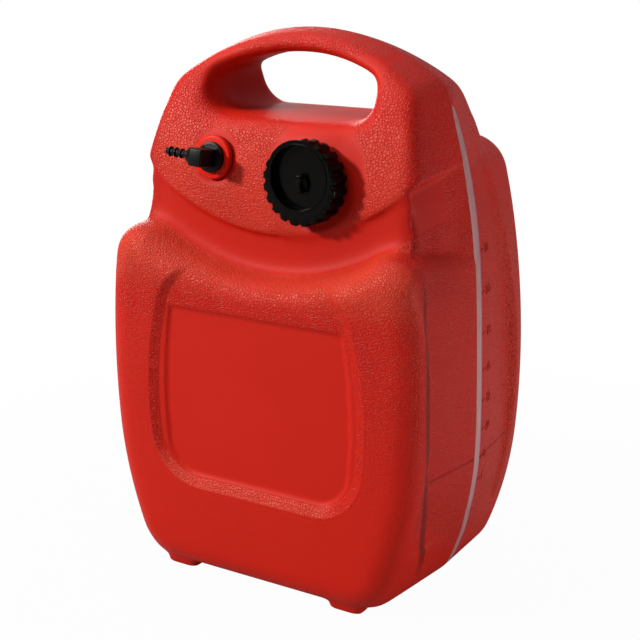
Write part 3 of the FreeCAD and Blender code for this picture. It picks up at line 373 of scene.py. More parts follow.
@dataclass(frozen=True)
class TankPlastic:
    """Red blow-moulded polyethylene: leather grain with smooth places, painted shade in the
    grain's valleys, the seam, the crease and the front corners, and painted sheen and highlights
    on the head, the shoulder, the flanks and the panel's border.
    """

    slot: str = "red_polyethylene"
    colour: Colour = (0.59, 0.0105, 0.0012)
    deep: Colour = (0.56, 0.0085, 0.0008)
    roughness: float = 0.46
    specular: float = 0.21
    head_grain: float = 2.8
    lap_grain: float = 2.5
    side_grain: float = 1.9
    patch_size: float = 26.0
    tone_size: float = 80.0
    speckle_size: float = 1.5
    wear_size: float = 0.8
    # Painted shade: the dark red of the grain's valleys, of the flank's fine grain and of the sunk
    # seam line.
    valley: Colour = (0.38, 0.005, 0.002)
    # Painted sheen: the paler, greyer colour of the flank's grain, stronger towards the back and
    # weaker near the top.
    dusty: Colour = (0.60, 0.07, 0.045)
    # Painted highlight: the pale pink of the bottom and lower left corner of the front panel's
    # sloping border.
    worn: Colour = (0.70, 0.08, 0.045)
    shaded: Colour = (0.15, 0.003, 0.001)
    # Painted shade: the darker red of the rounding where the front turns to the flank.
    turned: Colour = (0.42, 0.004, 0.001)
    # Painted sheen: the paler colour that the head and the top of the front shoulder are mixed
    # towards.
    hazy: Colour = (0.64, 0.05, 0.022)
    seam_height: float = 128.6
    crease_line: float = 86.5
    brow_radius: float = 202.0
    head_relief: float = 0.28
    lap_relief: float = 0.34
    side_relief: float = 0.45
    seam_relief: float = 0.7
    # How strongly the painted sheen pales the head and the shoulder's top.
    head_haze: float = 0.42
    shoulder_haze: float = 0.75

    def _seam(self, x: Wire, y: Wire, z: Wire) -> Wire:
        """The fine sunk line across the flank, between the two creases."""
        line = abs(z - self.seam_height).rise(1.5, 0.5)
        return line * y.rise(-75.0, -72.0) * y.rise(72.0, 66.0) * x.rise(100.0, 110.0)

    def _slope(self, x: Wire, y: Wire, z: Wire) -> Wire:
        """The sloping border of the front panel."""
        ax = abs(x)
        low = FORM.panel_low + FORM.panel_corner
        over = (ax - FORM.panel_flat).most(0.0)
        under = (low - z).most(0.0)
        corner = FORM.panel_corner - span(over, under) + z.rise(low - 1.0, low + 3.0) * 3.0
        side = span(ax + (FORM.panel_bow - FORM.panel_half), z - FORM.panel_middle)
        inside = corner.least(FORM.panel_bow - side)
        return inside.rise(-0.6, 0.8) * inside.rise(9.6, 8.0) * y.rise(-94.0, -99.0)

    def _crease(self, x: Wire, y: Wire, z: Wire) -> Wire:
        """The shaded line along the flank's front crease."""
        away = z - FORM.crease_middle
        line = abs(y + self.crease_line - away * away * FORM.crease_bow).rise(6.4, 2.2)
        return line * z.rise(24.0, 60.0) * z.rise(316.0, 280.0) * abs(x).rise(112.0, 122.0)

    def _corner(self, x: Wire, y: Wire, z: Wire) -> Wire:
        """The rounding from the head and the collar to the flank, where the colour is darkened as
        painted shade.
        """
        deep = y.rise(-99.0, -84.0) * y.rise(-6.0, -60.0)
        return deep * abs(x).rise(118.0, 136.0) * z.rise(268.0, 300.0)

    def _disc(self, x: Wire, z: Wire, at: tuple[float, float], radius: float, soft: float) -> Wire:
        """1 inside a circle seen from the front.

        Args:
            x: the X coordinate in millimetres.
            z: the Z coordinate in millimetres.
            at: the circle's middle.
            radius: its radius.
            soft: half the width of its edge.

        Returns:
            The mask.
        """
        return span(x - at[0], z - at[1]).rise(radius + soft, radius - soft)

    def _collar(self, x: Wire, y: Wire, z: Wire) -> Wire:
        """The smooth band between the front shoulder and the head."""
        under_brow = 1.0 - self._disc(x, z, (0.0, FORM.brow_middle), self.brow_radius, 1.0)
        over_lap = self._disc(x, z, (0.0, FORM.lap_middle), FORM.lap_radius + 1.0, 1.5)
        return under_brow * over_lap * y.rise(-74.5, -72.5) * y.rise(-20.0, -38.0)

    def _label(self, x: Wire, y: Wire, z: Wire) -> Wire:
        """The smooth recess in the front panel."""
        ax = abs(x)
        side = self._disc(ax, z, (-321.0, FORM.panel_middle), 420.0, 0.8)
        over = (ax - FORM.panel_flat).most(0.0)
        under = (132.0 - z).most(0.0)
        corner = span(over, under).rise(34.8, 33.2)
        return side * corner * z.rise(256.5, 254.9) * y.rise(-92.0, -96.0)

    def _side(self, x: Wire, y: Wire, z: Wire) -> Wire:
        """The flanks, and the sides of the head above them."""
        arch = span(x, z - FORM.arch_middle)
        above = arch.rise(205.0, 211.0) * z.rise(300.0, 330.0) * y.rise(-30.0, 10.0)
        return (abs(x).rise(146.0, 158.0) * y.rise(-98.0, -84.0)).most(above)

    def _lap(self, x: Wire, z: Wire) -> Wire:
        """The grained band over the shoulder and down both sides of the front panel."""
        right = x.rise(-60.0, 60.0) * 0.55 + 0.45
        return z.rise(215.0, 262.0).most(abs(x).rise(100.0, 113.0) * z.rise(60.0, 240.0) * right)

    def _smooth(self, x: Wire, y: Wire, z: Wire) -> Wire:
        """The places without grain: the two seats, the collar, the label recess and the grip."""
        seat = self._disc(x, z, (43.0, 377.0), 50.0, 4.0)
        pocket = self._disc(x, z, (FORM.outlet[0], FORM.outlet[2]), 24.5, 1.5)
        seats = seat.most(pocket) * y.rise(-30.0, -45.0)
        panels = self._collar(x, y, z).most(self._label(x, y, z))
        return seats.most(panels).most(self._grip(x, y, z))

    def _grip(self, x: Wire, y: Wire, z: Wire) -> Wire:
        """The inside of the handle's opening."""
        wide = abs(x).rise(96.0, 86.0)
        tall = z.rise(412.0, 420.0) * z.rise(481.0, 474.0)
        return wide * tall * abs(y).rise(50.0, 40.0)

    def material(self) -> bpy.types.Material:
        """The finish as a material."""
        board = Board.named(self.slot)
        x, y, z = board.axes()
        flank = self._side(x, y, z)
        smooth = self._smooth(x, y, z)
        slope = self._slope(x, y, z)
        head = self._disc(x, z, (0.0, FORM.brow_middle), self.brow_radius + 1.0, 2.0)
        head = head * y.rise(40.0, -10.0)
        coarse = board.pebbles(self.head_grain)
        medium = board.pebbles(self.lap_grain)
        fine = board.pebbles(self.side_grain)
        grained = 1.0 - smooth
        face = grained * (1.0 - flank)
        fade = 0.55 + 0.9 * board.noise(self.patch_size, 3.0)
        on_head = head * face * fade
        on_lap = (1.0 - head) * face * (0.2 + 0.8 * self._lap(x, z).most(slope)) * fade
        crease = self._crease(x, y, z)
        seam = (self._seam(x, y, z) * flank).most(crease * 0.5)
        normal = board.relief(coarse * on_head, self.head_relief)
        normal = board.relief(medium * on_lap, self.lap_relief, normal)
        normal = board.relief(fine * (grained * flank), self.side_relief, normal)
        normal = board.relief(1.0 - seam, self.seam_relief, normal)
        tone = board.noise(self.tone_size, 3.0).rise(0.3, 0.75)
        # Painted shade in the valleys between the pebbles of the head and the lap.
        shaded_valleys = (1.0 - coarse) * on_head + (1.0 - medium) * on_lap
        colour = board.mix(tone * 0.6, self.deep, self.colour)
        # Painted sheen: the head and the shoulder's top are made paler, as if they reflected a
        # bright sky.
        sheen_share = head * self.head_haze + (1.0 - head) * z.rise(262.0, 296.0) * self.shoulder_haze
        colour = board.mix(sheen_share * face * y.rise(-52.0, -68.0), colour, self.hazy)
        colour = board.mix((shaded_valleys * 0.42).clamped(), colour, self.valley)
        # Painted shade on the rounding from the front to the flank.
        colour = board.mix(self._corner(x, y, z) * 0.8, colour, self.turned)
        speckle = board.noise(self.speckle_size, 2.0).rise(0.36, 0.64)
        # Painted sheen on the flank's grain, speckled, growing towards the back and fading near
        # the top.
        flank_sheen_share = (0.22 + 0.8 * y.rise(-30.0, 70.0)) * (1.0 - 0.75 * z.rise(300.0, 390.0))
        colour = board.mix(flank * grained * speckle * flank_sheen_share, colour, self.dusty)
        # Painted shade in the valleys of the flank's fine grain.
        colour = board.mix(flank * grained * (1.0 - fine) * 0.7, colour, self.valley)
        # Painted shade in the sunk seam line and, at half strength, along the front crease.
        colour = board.mix(seam * 0.85, colour, self.valley)
        colour = board.mix(crease * 0.75, colour, self.shaded)
        wear = board.noise(self.wear_size, 3.0).rise(0.45, 0.8)
        # Painted highlight on the bottom and lower left corner of the panel's sloping border,
        # speckled by the grain.
        bright = slope * z.rise(122.0, 100.0) * x.rise(92.0, 66.0)
        colour = board.mix(bright * (0.15 + 0.4 * medium), colour, self.worn)
        tops = medium * on_lap.clamped() + coarse * on_head.clamped()
        shine = self.roughness + 0.08 * wear + 0.1 * smooth + 0.06 * flank - 0.04 * tops
        inputs = {"Base Color": colour, "Roughness": shine, "Normal": normal,
                  "Specular IOR Level": self.specular}
        return board.finish(inputs)


@dataclass(frozen=True)
class Moulding:
    """Plain injection-moulded plastic or rubber."""

    slot: str
    colour: Colour
    gloss: Gloss
    orange_peel: float = 0.03
    scuffs: float = 0.12
    specular: float = 0.4

    def material(self) -> bpy.types.Material:
        """The finish as a material."""
        board = Board.named(self.slot)
        cloud = board.noise(9.0, 3.0)
        scuff = board.noise(0.9, 5.0, board.stretched((1.0, 1.0, 0.25))).rise(0.5, 0.75)
        pale = tuple(min(1.0, c * 1.5 + 0.002) for c in self.colour)
        colour = board.mix(scuff * 0.35, self.colour, pale)
        shine = self.gloss.value + self.scuffs * scuff + 0.06 * cloud
        normal = board.relief(board.noise(2.2, 2.0), self.orange_peel)
        return board.finish({"Base Color": colour, "Roughness": shine, "Normal": normal,
                             "Specular IOR Level": self.specular})


@dataclass(frozen=True)
class StripPlastic:
    """Natural polyethylene, through which the fuel level is read."""

    slot: str = "translucent_polyethylene"
    colour: Colour = (0.48, 0.215, 0.225)
    cloudy: Colour = (0.39, 0.17, 0.18)
    edge: Colour = (0.26, 0.07, 0.13)

    def material(self) -> bpy.types.Material:
        """The finish as a material."""
        board = Board.named(self.slot)
        streak = board.noise(6.0, 3.0, board.stretched((1.0, 1.0, 0.2)))
        _, y, _ = board.axes()
        colour = board.mix(streak.rise(0.35, 0.7), self.colour, self.cloudy)
        colour = board.mix(y.rise(1.6, 4.2) * 0.75, colour, self.edge)
        normal = board.relief(board.noise(0.9, 3.0), 0.05)
        shine = 0.38 + 0.1 * streak
        return board.finish({"Base Color": colour, "Roughness": shine, "Normal": normal})


@dataclass(frozen=True)
class Steel:
    """Zinc-plated spring steel, or woven gauze where mesh is the pitch of its wires."""

    slot: str
    colour: Colour = (0.55, 0.55, 0.57)
    mesh: float = 0.0

    def material(self) -> bpy.types.Material:
        """The finish as a material."""
        board = Board.named(self.slot)
        brushed = board.noise(0.5, 3.0, board.stretched((1.0, 1.0, 0.08)))
        shine = 0.28 + 0.2 * brushed
        normal = board.relief(brushed, 0.02)
        if self.mesh:
            x, y, z = board.axes()
            turn = 2 * math.pi / self.mesh
            weave = ((x + y) * turn).sine() * (z * turn).sine()
            normal = board.relief(weave * 0.5 + 0.5, 0.25, normal)
        shade = board.mix(brushed, self.colour, tuple(c * 0.7 for c in self.colour))
        inputs = {"Base Color": shade, "Metallic": 1.0, "Roughness": shine, "Normal": normal}
        return board.finish(inputs)


class Finishes:
    """Every finish of the tank, by its slot in the record."""

    def __init__(self) -> None:
        """Makes the materials."""
        black: Colour = (0.0016, 0.0016, 0.0017)
        made = [
            TankPlastic(),
            StripPlastic(),
            Moulding("black_polypropylene", black, Gloss.POLISHED, 0.02, 0.03, 0.08),
            Moulding("red_bush", (0.70, 0.009, 0.002), Gloss.SATIN, 0.02, 0.06, 0.14),
            Moulding("black_nylon", (0.003, 0.003, 0.0033), Gloss.SATIN, 0.04, 0.1, 0.15),
            Moulding("nitrile_rubber", (0.012, 0.012, 0.0125), Gloss.DULL, 0.03),
            Moulding("hose_rubber", (0.03, 0.03, 0.03), Gloss.DULL, 0.08),
            Steel("spring_steel"),
            Steel("gauze", (0.6, 0.6, 0.6), 0.7),
        ]
        self.by_slot = {finish.slot: finish.material() for finish in made}

    def dress(self, piece: bpy.types.Object, slot: str) -> None:
        """Gives a piece one finish all over.

        Args:
            piece: the piece.
            slot: the finish's slot.
        """
        piece.data.materials.clear()
        piece.data.materials.append(self.by_slot[slot])


# Shaping


class Solid:
    """A bmesh that grows into a piece, in a frame of its own with lengths in millimetres."""

    def __init__(self) -> None:
        """Starts an empty bmesh."""
        self.bm = bmesh.new()

    def turn(self, profile: Sequence[tuple[float, float]], steps: int, rounding: float = 0.0,
             closed: bool = True) -> "Solid":
        """Spins an outline round Z.

        Args:
            profile: radius and height of its corners, in order.
            steps: how many faces go round.
            rounding: the bevel of its corners that aren't on the axis.
            closed: whether the last corner joins the first.

        Returns:
            The solid.
        """
        corners = [self.bm.verts.new((r, 0.0, h)) for r, h in profile]
        count = len(corners)
        edges = [self.bm.edges.new((corners[i], corners[(i + 1) % count]))
                 for i in range(count if closed else count - 1)]
        if rounding:
            free = [v for v in corners if v.co.x > 0.001 and len(v.link_edges) == 2]
            bmesh.ops.bevel(self.bm, geom=free, offset=rounding, offset_type="OFFSET",
                            affect="VERTICES", segments=3, profile=0.5, material=-1,
                            clamp_overlap=True)
            edges = [e for e in self.bm.edges if not e.link_faces]
        axis_verts = [v for v in self.bm.verts if v.co.x <= 0.001 and not v.link_faces]
        loose = [v for v in self.bm.verts if not v.link_faces]
        bmesh.ops.spin(self.bm, geom=loose + edges, cent=(0, 0, 0), axis=(0, 0, 1), dvec=(0, 0, 0),
                       angle=2 * math.pi, steps=steps, use_merge=True, use_normal_flip=False,
                       use_duplicate=False)
        if axis_verts:
            bmesh.ops.remove_doubles(self.bm, verts=self.bm.verts[:], dist=1e-4)
        return self.outward()

    def thread(self, root: float, crest: float, low: float, turns: float) -> "Solid":
        """Runs the ridge of the filler's thread along a helix round Z, and closes its ends.

        Args:
            root: the radius that it stands on.
            crest: the radius of its top.
            low: where it starts along Z.
            turns: how many times it goes round.

        Returns:
            The solid.
        """
        profile = [(root, low), (crest, low + 0.4), (crest, low + 1.3), (root, low + 1.7)]
        start = self.bm.faces.new([self.bm.verts.new((r, 0.0, h)) for r, h in profile])
        total = int(round(THREAD_STEPS * turns))
        bmesh.ops.spin(self.bm, geom=[start], cent=(0, 0, 0), axis=(0, 0, 1),
                       dvec=(0, 0, FORM.thread_pitch * turns / total),
                       angle=2 * math.pi * turns, steps=total, use_merge=False,
                       use_normal_flip=False, use_duplicate=False)
        return self.outward()

    def block(self, size: Point, at: Point, rounding: float) -> "Solid":
        """Adds a block with rounded edges.

        Args:
            size: its lengths.
            at: its middle.
            rounding: the rounding of its edges.

        Returns:
            The solid.
        """
        made = bmesh.ops.create_cube(self.bm, size=1.0, matrix=Matrix.Translation(at)
                                     @ Matrix.Diagonal((*size, 1.0)))
        ends = set(made["verts"])
        edges = [e for e in self.bm.edges if e.verts[0] in ends]
        bmesh.ops.bevel(self.bm, geom=edges, offset=rounding, offset_type="OFFSET",
                        affect="EDGES", segments=3, profile=0.5, material=-1, clamp_overlap=True)
        return self

    def move(self, change: Callable[[Vector], Vector]) -> "Solid":
        """Moves every vertex by a rule.

        Args:
            change: gives a vertex's new place from its old one.

        Returns:
            The solid.
        """
        for vert in self.bm.verts:
            vert.co = change(vert.co)
        return self

    def outward(self) -> "Solid":
        """Points every face outwards."""
        bmesh.ops.recalc_face_normals(self.bm, faces=self.bm.faces[:])
        return self

    def piece(self, name: str, frame: Matrix) -> bpy.types.Object:
        """Ends the bmesh as an object at the origin.

        Args:
            name: the piece's name.
            frame: where the solid's own frame stands, in millimetres.

        Returns:
            The object.
        """
        bmesh.ops.transform(self.bm, matrix=Matrix.Scale(MM, 4) @ frame, verts=self.bm.verts[:])
        return shown(name, self.bm)


def shown(name: str, bm: bmesh.types.BMesh) -> bpy.types.Object:
    """Ends a bmesh as an object in the scene, with smooth shading but for its sharp edges.

    Args:
        name: the object's name.
        bm: its mesh, in metres. It is freed.

    Returns:
        The object.
    """
    mesh = bpy.data.meshes.new(name)
    bm.to_mesh(mesh)
    bm.free()
    mesh.polygons.foreach_set("use_smooth", [True] * len(mesh.polygons))
    mesh.set_sharp_from_angle(angle=math.radians(SHARP_DEGREES))
    mesh.update()
    made = bpy.data.objects.new(name, mesh)
    bpy.context.scene.collection.objects.link(made)
    return made


def applied(piece: bpy.types.Object) -> bpy.types.Object:
    """Bakes an object's modifiers into its mesh.

    Args:
        piece: the object.

    Returns:
        The same object, without modifiers.
    """
    graph = bpy.context.evaluated_depsgraph_get()
    graph.update()
    mesh = bpy.data.meshes.new_from_object(piece.evaluated_get(graph))
    old = piece.data
    piece.modifiers.clear()
    piece.data = mesh
    bpy.data.meshes.remove(old)
    return piece


def joined(name: str, parts: Sequence[bpy.types.Object]) -> bpy.types.Object:
    """Unites closed solids into one.

    Args:
        name: the united piece's name.
        parts: the solids. All but the first are removed.

    Returns:
        The united piece.
    """
    whole, *others = parts
    for other in others:
        union = whole.modifiers.new("union", "BOOLEAN")
        union.operation = "UNION"
        union.solver = "EXACT"
        union.object = other
    applied(whole)
    for other in others:
        bpy.data.objects.remove(other)
    whole.name = name
    return whole


def frame_at(x: float, y: float, z: float, tilt: float = 0.0, turn: float = 0.0) -> Matrix:
    """The frame of a fitting on the head: its own Z points out along -Y.

    Args:
        x: its place across the tank.
        y: its place in depth.
        z: its height.
        tilt: how far it points up, in degrees.
        turn: a turn round its own Z, in degrees.

    Returns:
        The frame, in millimetres.
    """
    out = Matrix.Rotation(math.radians(90.0 - tilt), 4, "X")
    return Matrix.Translation((x, y, z)) @ out @ Matrix.Rotation(math.radians(turn), 4, "Z")


def filler_frame() -> Matrix:
    """The frame of the filler, whose own Z starts at the parting plane."""
    return frame_at(FORM.filler[0], 0.0, FORM.filler[1])


# The tank


@dataclass(frozen=True)
class Zone:
    """A zone of the skin that is softened by its own measure.

    limits holds the lowest and the highest value of each reading that a spot of the zone has, and
    with outside set the zone is all that lies outside them.
    """

    name: str
    passes: int
    limits: dict[str, tuple[float, float]]
    outside: bool = False

    def holds(self, readings: dict[str, float]) -> bool:
        """Whether a spot with these readings lies in the zone."""
        inside = all(low < readings[key] < high for key, (low, high) in self.limits.items())
        return inside != self.outside


FAR = 1000.0
ZONES = (  # in the order in which they are softened
    Zone("sill", 220, {"x": (-1.0, 104.0), "y": (-FAR, -6.0), "z": (392.0, 440.0)}),
    Zone("ends", 110, {"x": (56.0, 110.0), "y": (-FAR, -10.0), "z": (400.0, 480.0),
                       "arch": (-1.0, 190.0)}),
    Zone("brow", 60, {"thick": (12.0, FAR), "z": (335.0, FAR), "arch": (190.0, FAR)}),
    Zone("lap", 160, {"y": (-FAR, -52.0), "z": (262.0, FAR), "past_lap": (-16.0, 8.0)}),
    Zone("seat", 60, {"y": (-FAR, -52.0), "filler": (33.0, 62.0)}),
    Zone("grip", 45, {"x": (-1.0, 108.0), "y": (-FAR, 12.0), "z": (398.0, FAR),
                      "arch": (-1.0, 198.0)}),
    Zone("crease", 30, {"x": (120.0, FAR), "y": (-108.0, -64.0), "z": (-FAR, 400.0)}),
    Zone("feet", 14, {"z": (-FAR, 12.0)}),
    Zone("edges", 8, {"x": (-1.0, 120.0), "y": (-FAR, -84.0), "z": (80.0, 262.0)}, outside=True),
)


@dataclass
class TankBody:
    """The blow-moulded body, its level strip, its neck and the marks moulded on its flank."""

    finishes: Finishes
    voxel: float = 1.8
    triangles: int = 190_000
    border: float = 9.0
    border_sink: float = 4.5
    border_fade: float = 24.0
    border_top: float = 258.0
    shoulder: float = 262.0
    shoulder_draw: float = 80.0
    lap_round: float = 27.0
    lap_foot: float = -80.5
    front_reach: float = 120.0
    front_depth: float = -84.0
    flank_sink: float = 7.3
    flank_middle: float = 222.0
    flank_spread: float = 95.0
    flank_low: float = 55.0
    flank_high: float = 410.0
    flank_belly: float = 0.35
    flank_wall: float = 26.0
    ring: float = 5.0
    crease: float = -87.0
    crease_run: float = 4.5
    back_crease: float = 80.0
    back_crease_middle: float = 180.0
    back_crease_bow: float = 0.0009
    back_crease_run: float = 8.0
    seat: float = 67.4
    neck_cut: float = 64.1
    neck_reach: float = 31.2
    neck_bore: float = 26.4
    neck_radius: float = 29.4
    neck_lip: float = 78.5
    thread_height: float = 1.6
    thread_turns: float = 1.9
    outlet_hole: float = 14.1
    hole_depth: float = 20.0
    strip_width: float = 9.6
    strip_proud: float = 0.1
    strip_thickness: float = 1.4
    slot_width: float = 8.8
    strip_floor: float = 22.0
    strip_top: float = 438.0
    strip_taper: float = 46.0
    mark_proud: float = 0.6
    mark_sunk: float = 0.8
    figure_size: float = 11.0
    figure_start: float = 15.5
    rib_middle: float = 10.0
    rib_length: float = 8.0
    rib_width: float = 1.3
    marks: dict[int, float] = field(default_factory=lambda: {
        22: 315.0, 20: 278.0, 18: 241.0, 15: 208.0, 12: 180.0, 10: 153.0, 8: 127.0, 5: 105.0,
    })

    def _closed_skin(self) -> bmesh.types.BMesh:
        """The wall and the strip as one skin, with the neck and the outlet's hole closed.

        Returns:
            A bmesh in metres.
        """
        bm = bmesh.new()
        for node in ("tank_shell", "level_strip"):
            bm.from_mesh(bpy.data.objects[node].data)
        bmesh.ops.remove_doubles(bm, verts=bm.verts[:], dist=2e-6)
        half = self.slot_width / 2 * MM
        slot_walls = [f for f in bm.faces if abs(f.normal.y) > 0.9
                      and f.calc_center_median().x > 0.1
                      and abs(abs(f.calc_center_median().y) - half) < 0.0002]
        bmesh.ops.delete(bm, geom=slot_walls, context="FACES")
        middle = mm(FORM.filler[0], 0.0, FORM.filler[1])
        on_neck = [v for v in bm.verts if v.co.y <= -self.neck_cut * MM
                   and math.hypot(v.co.x - middle.x, v.co.z - middle.z) <= self.neck_reach * MM]
        bmesh.ops.delete(bm, geom=on_neck, context="VERTS")
        tilt = math.radians(FORM.outlet_tilt)
        out = Vector((0.0, -math.cos(tilt), math.sin(tilt)))
        start = mm(*FORM.outlet)

        def in_hole(vert: bmesh.types.BMVert) -> bool:
            """Whether a vertex stands on the outlet's hole."""
            along = (vert.co - start).dot(out)
            away = (vert.co - start - out * along).length
            return away < self.outlet_hole * MM and abs(along) < self.hole_depth * MM

        hole = [f for f in bm.faces if all(in_hole(v) for v in f.verts)]
        bmesh.ops.delete(bm, geom=hole, context="FACES")
        rims = [e for e in bm.edges if len(e.link_faces) == 1]
        bmesh.ops.holes_fill(bm, edges=rims, sides=0)
        return bm

    def skin(self) -> bpy.types.Object:
        """The whole red body with softened edges, as it leaves the mould."""
        body = shown("tank_body", self._closed_skin())
        remesh = body.modifiers.new("remesh", "REMESH")
        remesh.mode = "VOXEL"
        remesh.voxel_size = self.voxel * MM
        applied(body)
        self._soften(body)
        self._sink(body)
        faces = sum(len(p.vertices) - 2 for p in body.data.polygons)
        thin = body.modifiers.new("thin", "DECIMATE")
        thin.ratio = min(1.0, self.triangles / faces)
        applied(body)
        body.data.polygons.foreach_set("use_smooth", [True] * len(body.data.polygons))
        self.finishes.dress(body, "red_polyethylene")
        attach(body, "root")
        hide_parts("tank_shell")
        return body

    def _past_lap(self, x: float, z: float) -> float:
        """How far a spot of the front lies outside the lap's circle."""
        return math.hypot(x, z - FORM.lap_middle) - FORM.lap_radius

    def _zones(self, x: float, y: float, z: float) -> Iterable[str]:
        """The zones of softening that a spot of the skin lies in.

        Args:
            x: its place across the tank.
            y: its depth.
            z: its height.

        Returns:
            Their names.
        """
        readings = {
            "x": abs(x), "y": y, "z": z, "thick": abs(y),
            "arch": math.hypot(x, z - FORM.arch_middle),
            "past_lap": self._past_lap(x, z),
            "filler": math.hypot(x - FORM.filler[0], z - FORM.filler[1]),
        }
        return (zone.name for zone in ZONES if zone.holds(readings))

    def _soften(self, body: bpy.types.Object) -> None:
        """Rounds the moulded edges, each zone by its own measure.

        Args:
            body: the remeshed body.
        """
        inside: dict[str, list[int]] = {zone.name: [] for zone in ZONES}
        for vert in body.data.vertices:
            for name in self._zones(*(c / MM for c in vert.co)):
                inside[name].append(vert.index)
        for zone in ZONES:
            group = body.vertex_groups.new(name=zone.name)
            group.add(inside[zone.name], 1.0, "REPLACE")
            self._smooth(body, zone.name, zone.passes).vertex_group = zone.name
        self._smooth(body, "whole", 2)
        applied(body)
        body.vertex_groups.clear()

    def _smooth(self, body: bpy.types.Object, name: str, passes: int) -> bpy.types.Modifier:
        """A smoothing modifier on the body, with its number of passes."""
        made = body.modifiers.new(name, "SMOOTH")
        made.factor = 0.5
        made.iterations = passes
        return made

    def _panel_depth(self, x: float, z: float) -> float | None:
        """The sloping border of the front panel.

        Args:
            x: a place across the tank.
            z: a height.

        Returns:
            The border's depth there, or None off the border.
        """
        across = math.hypot(abs(x) - FORM.panel_half + FORM.panel_bow, z - FORM.panel_middle)
        draw = max(0.0, z - self.shoulder) ** 2 / self.shoulder_draw
        inside = min(FORM.panel_bow - across - draw, z - FORM.panel_low)
        low = FORM.panel_low + FORM.panel_corner
        if z < low:
            away = math.hypot(max(abs(x) - FORM.panel_flat, 0.0), low - z)
            inside = min(inside, FORM.panel_corner - away)
        past_lap = self._past_lap(x, z)
        if z < self.border_top and not -0.9 < inside < self.border or past_lap <= 0.0:
            return None
        below = max(0.0, self.lap_round - past_lap)
        face = self.lap_foot - math.sqrt(self.lap_round ** 2 - below ** 2)
        sunk = self.border_sink * min(1.0, past_lap / self.border_fade)
        return face + sunk * min(1.0, max(0.0, inside) / self.border)

    def _sink(self, body: bpy.types.Object) -> None:
        """Slopes the front panel's border and sinks the flanks between their creases.

        Args:
            body: the softened body.
        """
        widest = self._widest(body)
        for vert in body.data.vertices:
            x, y, z = (c / MM for c in vert.co)
            if y < self.front_depth and abs(x) < self.front_reach:
                depth = self._panel_depth(x, z)
                if depth is not None:
                    share = min(1.0, max(0.0, (self._past_lap(x, z) - 3.0) / 9.0))
                    vert.co.y += (depth - y) * share * MM
                continue
            if abs(x) < self.front_reach or not self.flank_low < z < self.flank_high:
                continue
            step = int(z / self.ring)
            share = z / self.ring - step
            out = widest[step] * (1.0 - share) + widest[step + 1] * share
            if abs(x) > out - self.flank_wall:
                vert.co.x -= math.copysign(self._flank_depth(y, z), x) * MM
        body.data.update()

    def _widest(self, body: bpy.types.Object) -> dict[int, float]:
        """The body's half width in the parting plane.

        Args:
            body: the softened body.

        Returns:
            The half width by the number of rings up to its height.
        """
        tree = BVHTree.FromObject(body, bpy.context.evaluated_depsgraph_get())
        first, last = int(self.flank_low / self.ring) - 1, int(self.flank_high / self.ring) + 1
        widest: dict[int, float] = {}
        for step in range(first, last + 1):
            spot = tree.ray_cast(mm(OUTSIDE, 0.0, step * self.ring), Vector((-1.0, 0.0, 0.0)))[0]
            widest[step] = spot.x / MM
        return widest

    def _flank_depth(self, y: float, z: float) -> float:
        """How deep the flank's floor lies under the moulded form.

        Args:
            y: the spot's depth.
            z: its height.

        Returns:
            The depth, which is 0 outside the two creases.
        """
        sink = self.flank_sink * math.exp(
            -0.7 * ((z - self.flank_middle) / self.flank_spread) ** 2)
        sink *= min(1.0, (self.flank_high - z) / 40.0, (z - self.flank_low) / 20.0)
        front = self.crease + FORM.crease_bow * (z - FORM.crease_middle) ** 2
        back = self.back_crease - self.back_crease_bow * (z - self.back_crease_middle) ** 2
        ramp = min(max((y - front) / self.crease_run, 0.0),
                   max((back - y) / self.back_crease_run, 0.0), 1.0)
        belly = 1.0 - self.flank_belly * min(1.0, abs(y) / self.back_crease)
        return sink * (ramp * ramp * (3.0 - 2.0 * ramp) * belly)

    def filler_neck(self) -> bpy.types.Object:
        """The neck with its thread and its soft lip."""
        inside, outside = self.neck_bore, self.neck_radius
        foot, lip = self.seat - 2.6, self.neck_lip
        wall = Solid().turn([(inside, foot), (inside, lip), (outside, lip), (outside, foot)],
                            96, rounding=0.8)
        ridge = Solid().thread(outside - 0.4, outside + self.thread_height, self.seat + 2.4,
                               self.thread_turns)
        neck = joined("filler_neck", [wall.piece("filler_neck", filler_frame()),
                                      ridge.piece("neck_thread", filler_frame())])
        self.finishes.dress(neck, "red_polyethylene")
        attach(neck, "root")
        return neck

    def _flank(self, tree: BVHTree, y: float, z: float, proud: float) -> Vector:
        """A spot on the right flank.

        Args:
            tree: the body's surface.
            y: its depth in millimetres.
            z: its height in millimetres.
            proud: how far it stands off the surface in millimetres.

        Returns:
            The spot, in metres.
        """
        spot, normal, _, _ = tree.ray_cast(mm(OUTSIDE, y, z), Vector((-1.0, 0.0, 0.0)))
        return spot + normal * (proud * MM)

    def level_strip(self, tree: BVHTree) -> bpy.types.Object:
        """The translucent strip, a hair proud of the flank.

        Args:
            tree: the body's surface.

        Returns:
            The strip.
        """
        bm = bmesh.new()
        bmesh.ops.create_grid(bm, x_segments=4, y_segments=180, size=0.5)
        length = self.strip_top - self.strip_floor
        for vert in bm.verts:
            z = self.strip_floor + 0.5 + (vert.co.y + 0.5) * (length - 1.5)
            point = min(1.0, (self.strip_top - z) / self.strip_taper)
            y = vert.co.x * self.strip_width * (1.0 - (1.0 - point) ** 2) ** 0.5
            vert.co = self._flank(tree, y, z, self.strip_proud)
        bmesh.ops.recalc_face_normals(bm, faces=bm.faces[:])
        if sum((f.normal.x for f in bm.faces), 0.0) < 0:
            bmesh.ops.reverse_faces(bm, faces=bm.faces[:])
        bmesh.ops.solidify(bm, geom=bm.faces[:], thickness=self.strip_thickness * MM)
        bmesh.ops.recalc_face_normals(bm, faces=bm.faces[:])
        strip = shown("fuel_level_strip", bm)
        self.finishes.dress(strip, "translucent_polyethylene")
        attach(strip, "root")
        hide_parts("level_strip")
        return strip

